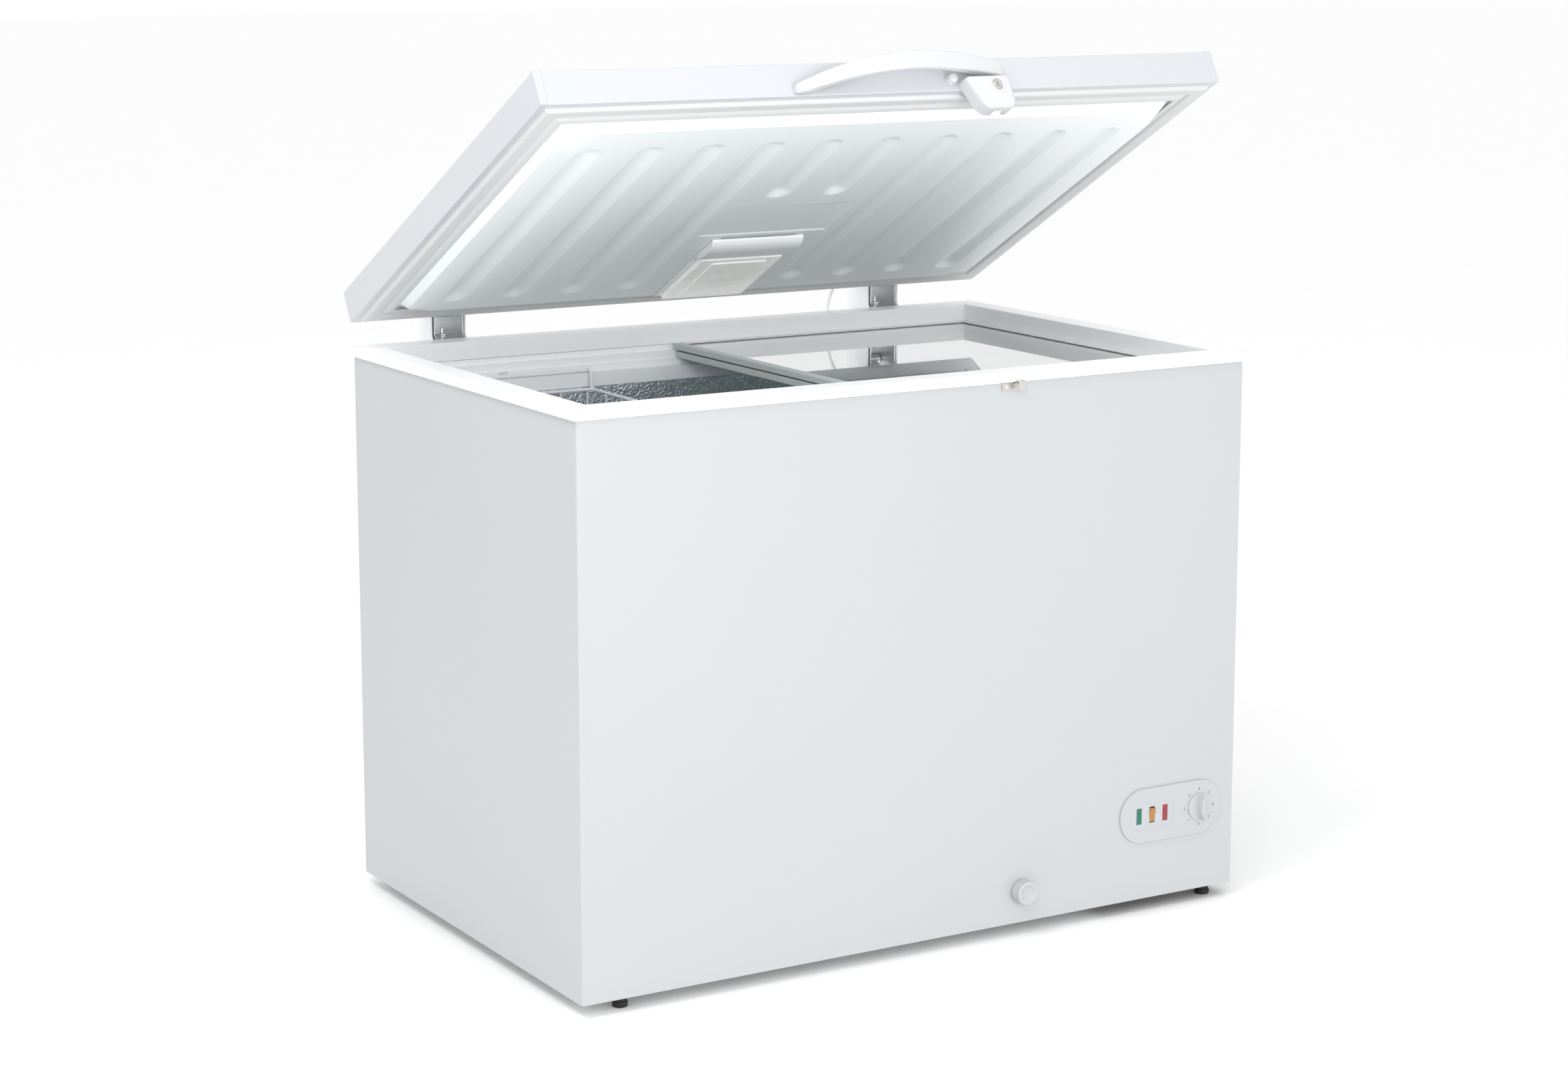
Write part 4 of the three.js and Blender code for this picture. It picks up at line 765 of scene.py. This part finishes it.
def rounded_loops(low_y, high_y, low_z, high_z, radius, steps=5):
    """One four-cornered loop with quarter-circle corners for each station, in (y, z)."""
    radius = np.minimum(radius, 0.49 * np.minimum(high_y - low_y, high_z - low_z))[:, None, None]
    angle = np.arange(4)[:, None] * np.pi / 2 + np.linspace(0, np.pi / 2, steps + 1)
    y_edge = np.stack([high_y, low_y, low_y, high_y], -1)[:, :, None]
    z_edge = np.stack([high_z, high_z, low_z, low_z], -1)[:, :, None]
    sign_y, sign_z = np.array([1, -1, -1, 1])[:, None], np.array([1, 1, -1, -1])[:, None]
    y = y_edge - sign_y * radius + radius * np.cos(angle)
    z = z_edge - sign_z * radius + radius * np.sin(angle)
    return y.reshape(len(low_y), -1), z.reshape(len(low_y), -1)


# The lap at each end of the front: a strip that stands proud of the front and the top.
lap_x = np.array([559.0, 559.4, 570.9, 571.4])
lap_shrink = np.array([0.4, 0.0, 0.0, 0.5])
lap_front, lap_back, lap_foot, lap_top, lap_round = -377.0, -370.0, 856.4, 907.6, 1.2
lap_y, lap_z = rounded_loops(lap_front + lap_shrink, lap_back - lap_shrink, lap_foot + lap_shrink,
                             lap_top - lap_shrink, np.full(4, lap_round))
for side, sign in (("left", -1), ("right", 1)):
    lap = np.stack([np.broadcast_to(sign * lap_x[:, None], lap_y.shape), lap_y, lap_z], -1)
    new_piece(f"lid_end_fold_{side}", skin_of(lap), lid_enamel_painted_light, "lid", "white_steel", place=on_lid, crease=50)

# The lid panel's plastic is set light to lift the open lid's shaded underside: painted light.
panel_plastic_painted_light = skinned("vacuum_formed_plastic_painted_light", (0.90, 0.935, 0.95), (0.88, 0.915, 0.93), 0.36, 0.08,
                        650.0, 5.0, 0.06)
face_z, flange_z, panel_thick = 841.0, 857.3, 1.6
plug_x, plug_y, plug_chamfer, plug_slope = 508.0, 309.0, 14.0, 15.5
groove_pitch, groove_count, groove_half, groove_deep = 98.8, 10, 23.0, 7.5
groove_front, groove_back, short_groove_back = -258.0, 277.0, -56.0
groove_x = (np.arange(groove_count) - (groove_count - 1) / 2) * groove_pitch
lamp_left, lamp_right, lamp_front, lamp_back = -68.0, 68.0, 100.0, 298.0
recess_left, recess_right, recess_front, recess_back = -113.0, 113.0, -24.0, 78.0
recess_deep, recess_slope = 1.6, 1.8


def panel_height(x, y):
    """Height of the panel's lower face. The plug's side rises as a straight slope outside an
    eight-sided edge; each groove is a hollow of depth times a cosine, to the power 1.4, of the
    distance from its middle line, and the two middle grooves are short; the recess is a flat step
    with sloped sides."""
    beyond = np.maximum(np.maximum(np.abs(x) - plug_x, np.abs(y) - plug_y),
                        (np.abs(x) + np.abs(y) - (plug_x + plug_y - plug_chamfer)) / math.sqrt(2))
    height = face_z + (flange_z - face_z) * np.clip(beyond / plug_slope, 0, 1)
    for middle in groove_x:
        back = short_groove_back if abs(middle) < groove_pitch else groove_back
        nearest = np.clip(y, groove_front + groove_half, back - groove_half)
        apart = np.hypot(x - middle, y - nearest) / groove_half
        height += groove_deep * np.cos(np.clip(apart, 0, 1) * np.pi / 2) ** 1.4
    sunk = np.minimum(np.minimum(x - recess_left, recess_right - x),
                      np.minimum(y - recess_front, recess_back - y))
    return height + recess_deep * np.clip(sunk / recess_slope, 0, 1)


def grid_lines(half, *spans):
    """Stations from edge to edge, closer together wherever a span (from, to, step) asks for it."""
    lines = [np.array([-half, half])] + [np.arange(a, b + step / 2, step) for a, b, step in spans]
    lines = np.unique(np.round(np.concatenate(lines), 2))
    return lines[np.concatenate([[True], np.diff(lines) > 0.25])]


# Lines lie close over the grooves, the plug's slope and the recess's edges, and far apart elsewhere.
panel_x = grid_lines(
    569.4, *((m - 24, m + 24, 2.4) for m in groove_x),
    (plug_x - 4, plug_x + 18, 2.0), (-plug_x - 18, -plug_x + 4, 2.0),
    (recess_left - 2, recess_left + 2, 0.9), (recess_right - 2, recess_right + 2, 0.9),
    (lamp_left, lamp_right, 17.0), (538, 562, 12), (-562, -538, 12))
panel_y = grid_lines(
    373.9, (groove_front - 3, groove_front + 26, 2.4), (groove_back - 27, groove_back + 3, 2.4),
    (short_groove_back - 26, short_groove_back + 3, 2.4),
    (recess_front - 2, recess_front + 4, 0.9), (recess_back - 3, recess_back + 2, 0.9),
    (plug_y - 4, plug_y + 18, 2.0), (-plug_y - 18, -plug_y + 4, 2.0),
    (-220, 240, 20), (lamp_front, lamp_back, 33), (340, 370, 15), (-370, -340, 15))
mesh_x, mesh_y = np.meshgrid(panel_x, panel_y, indexing="xy")
panel_points = np.stack([mesh_x, mesh_y + lid_middle[1], panel_height(mesh_x, mesh_y)], -1).reshape(-1, 3)
panel_faces = np.array(grid_faces(len(panel_y), len(panel_x), close_columns=False))
face_middle = panel_points[panel_faces].mean(1)
over_hole = ((face_middle[:, 0] > lamp_left) & (face_middle[:, 0] < lamp_right)
             & (face_middle[:, 1] > lamp_front) & (face_middle[:, 1] < lamp_back))
panel_faces = panel_faces[~over_hole][:, ::-1].tolist()
panel = new_piece("lid_inner_face", (panel_points, panel_faces), panel_plastic_painted_light, "lid", "lid_panel_plastic",
                  ("lid_inner_panel",), place=on_lid, even=False, crease=40)
wall = panel.modifiers.new("wall", "SOLIDIFY")
wall.thickness = panel_thick / 1000
wall.offset = -1

# The seal's own outline, from its foot on the flange: an outer bead, a hollow fold, and a soft lip.
seal = skinned("seal_rubber", (0.66, 0.67, 0.67), (0.62, 0.63, 0.63), 0.5, 0.1, 500.0, 12.0, 0.1)
seal_profile = np.array([from_lid_edge(inset, height) for inset, height in (
    (11.6, 857.1), (11.4, 855.0), (12.4, 853.6), (13.2, 852.0), (14.6, 850.8), (17.0, 850.3),
    (21.0, 850.5), (25.0, 851.1), (29.0, 851.0), (32.0, 851.6), (34.0, 853.2), (35.2, 855.0),
    (36.6, 855.4), (38.0, 854.2), (40.0, 852.6), (43.0, 851.2), (47.0, 850.6), (50.5, 850.5),
    (52.6, 851.3), (49.4, 854.6), (47.1, 857.1))])
seal_loops = carried_round(softened(seal_profile, 0.6, 2), 3.0, middle=lid_middle)
new_piece("lid_seal", skin_of(seal_loops, close=True), seal, "lid", "seal_rubber", ("lid_gasket",),
          place=on_lid, even=False, crease=50)

# ---- Lid lamp ---------------------------------------------------------------------------------
# A white moulded tray let into the panel, with a rounded bar in front, a small bulb and a clear
# cover held by four screws. The cover has a faint painted glow that lightens it; the bulb itself
# sheds no light.
rounded_copy("lamp_tray", "lamp_base", plastic, bevel=1.0, steps=3)
bulb_glass = skinned("bulb_glass", (0.97, 0.97, 0.95), (0.94, 0.94, 0.92), 0.05, 0.02, 300.0, 40.0, 0.0,
                     Transmission_Weight=0.9, IOR=1.45)
rounded_copy("lamp_globe", "lamp_bulb", bulb_glass, crease=50)
# Painted glow: a faint emission lightens the clear cover; no light comes from the bulb.
painted_glow_cover = skinned("painted_glow_cover", (0.95, 0.96, 0.95), (0.9, 0.915, 0.905), 0.07, 0.04, 26.0, 12.0, 0.7, 0.006,
                    Alpha=0.6, IOR=1.49, Coat_Weight=1.0, Coat_Roughness=0.03,
                    Emission_Color=(1.0, 0.99, 0.95, 1), Emission_Strength=0.2)
rounded_copy("lamp_cover", "lamp_lens", painted_glow_cover, bevel=0.6, steps=3)
small_head = [(0.5, 0.9), (1.5, 0.9), (1.7, 0.1), (2.6, 0.0), (3.1, 0.4), (3.3, 1.2), (3.3, 2.2)]
head_z = face_z - 5.3
new_piece("lamp_screws", screws([(x, y, head_z) for x in (-76, 76) for y in (158, 296)], small_head, "z"),
          zinc, "lid", "zinc_steel", place=on_lid)

# ---- Handle -----------------------------------------------------------------------------------
# One white moulding, bowed out from the lid's front and arched along its top, screwed on from
# behind at a foot each end; a short boss steadies its right end.
# The handle's plastic is a darker copy of the rim's white plastic: painted shade, offsetting the front lamp
# on the handle and lock.
pull_plastic_painted_shade = skinned("pull_plastic_painted_shade", (0.62, 0.63, 0.645), (0.605, 0.615, 0.63), 0.28, 0.08,
                       800.0, 9.0, 0.05)
contact = -376.3                                     # the lid's front, where the feet stand
bar_x = np.concatenate([[-176, -175.6, -174.8, -173.2], np.linspace(-171, 170, 90),
                        [172.4, 173.4, 173.9, 174]])
squeeze = np.concatenate([[3.2, 1.8, 0.8, 0.2], np.zeros(90), [0.3, 0.9, 1.8, 3]])     # rounds both ends

# Both edges fall away from the arch's peak as the square of the distance, slowly on the long left
# side; the bow's front and the finger gap behind it are parabolas about the bar's middle.
peak_x, left_run, right_run = 40, 216, 134
on_left = bar_x < peak_x
reach = np.where(on_left, (bar_x - peak_x) / left_run, (bar_x - peak_x) / right_run)
crown = lid_top - np.where(on_left, 36, 11) * reach ** 2
sole = np.maximum(857, 878 - np.where(on_left, 24, 6) * reach ** 2)
bow_front = contact - 12 - 24 * (1 - (bar_x / 176) ** 2)
bow_back = contact - np.maximum(0, 26 * (1 - (bar_x / 142) ** 2))
bar_y, bar_z = rounded_loops(bow_front + squeeze, bow_back, sole + squeeze, crown - squeeze,
                             np.full(len(bar_x), 4.2))
handle_bar = skin_of(np.stack([np.broadcast_to(bar_x[:, None], bar_y.shape), bar_y, bar_z], -1))
handle_boss = lathe([(4, -12.6), (6.4, -11.8), (7.4, -9.6), (7.8, 0)], (88, contact, 872), "y", 40)
new_piece("lid_pull", together(handle_bar, handle_boss), pull_plastic_painted_shade, "lid", "white_plastic",
          ("lid_handle",), place=on_lid, crease=50)

# ---- Lock -------------------------------------------------------------------------------------
# A hollow white moulding under the handle's right end, with a raised ring round a nickel-plated
# cylinder. The keeper enters by a notch underneath, and turning the key swings a claw under it.
barrel_x, barrel_z, bore_radius = 148.0, 852.0, 8.3
housing_foot, notch_from, notch_to, notch_front = 815.0, 138.0, 158.0, -390.0
housing_outline = softened([
    (100, 868), (100, 861), (117, 823), (127, housing_foot), (notch_from - 0.1, housing_foot),
    (notch_from, housing_foot), (notch_to, housing_foot), (notch_to + 0.1, housing_foot),
    (167, housing_foot), (174, 822), (174, 862), (169, 868)], 6, 6)
housing_middle, housing_half = np.array([140.0, 843.0]), 27
face_y, wall_y = -402.6, -399.6                      # the front wall, outside and inside
outside_depth = np.array([(contact, 0.0), (-390.2, 0.3), (-396, 0.5), (-399, 0.9), (-401, 2.0),
                          (-402.2, 3.8), (face_y, 6.2)])
inside_depth = np.array([(wall_y, 6.4), (-398, 3.4), (-390.2, 2.7), (contact, 2.4)])


def drawn_in(depth):
    """Loops at (y, inset) pairs: the outline scaled towards its middle by the inset over its half size."""
    scale = 1 - depth[:, 1, None, None] / housing_half
    flat = housing_middle + (housing_outline - housing_middle) * scale
    return np.stack([flat[..., 0], np.broadcast_to(depth[:, :1], flat.shape[:2]), flat[..., 1]], -1)


# The skin runs up the outside, through the bore to the inside of the front wall, and back down it.
rays = housing_outline - (barrel_x, barrel_z)
bore = (barrel_x, barrel_z) + bore_radius * rays / np.linalg.norm(rays, axis=1)[:, None]
bore_loops = np.stack([np.stack([bore[:, 0], np.full(len(bore), y), bore[:, 1]], -1)
                       for y in (face_y, wall_y)])
housing_loops = np.concatenate([drawn_in(outside_depth), bore_loops, drawn_in(inside_depth)])
in_notch = ((housing_outline[:, 1] < housing_foot + 0.5) & (housing_outline[:, 0] > notch_from)
            & (housing_outline[:, 0] < notch_to))
housing_loops[:, in_notch, 1] = np.minimum(housing_loops[:, in_notch, 1], notch_front)
ring_profile = [(8.4, -400), (8.4, -403.4), (9.2, -404.1), (10.2, -404.1), (11.2, -403.2), (11.6, -400)]
ring_sides = 48
ring_points, _ = lathe(ring_profile, (barrel_x, 0, barrel_z), "y", ring_sides)
lock_ring = skin_of(ring_points.reshape(len(ring_profile), ring_sides, 3), close=True)
new_piece("lock_body", together(skin_of(housing_loops, close=True), lock_ring), pull_plastic_painted_shade, "lid",
          "white_plastic", ("lock_housing",), place=on_lid, crease=40)
rounded_copy("lock_barrel", "lock_cylinder", nickel, bevel=0.3)
rounded_copy("lock_claw", "lock_cam", zinc, bevel=0.3)

# ---- Lamp lead --------------------------------------------------------------------------------
# A white two-core lead carries the lamp's current from the lid's back edge down to the cabinet. It
# is held where it enters both.
lead_radius = 2.5
lead_route = [(312, 377.3, 901.8), (312, 386, 897), (309, 400, 877), (305, 405, 850), (301, 402, 818),
              (300, 393, 797), (300, 381, 790), (300, 370.6, 790)]
lead_points, lead_faces = tube(softened(lead_route, 14, 5, closed=False), lead_radius, (1, 0, 0), sides=14)
lead = bpy.data.objects.new("lamp_cable", bpy.data.meshes.new("lamp_cable"))
lead.data.from_pydata(on_cabinet(lead_points).tolist(), [], lead_faces)
lead.data.materials.append(plastic)
lead.data.shade_smooth()
bpy.context.scene.collection.objects.link(lead)
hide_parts("lamp_lead")
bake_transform(lead)
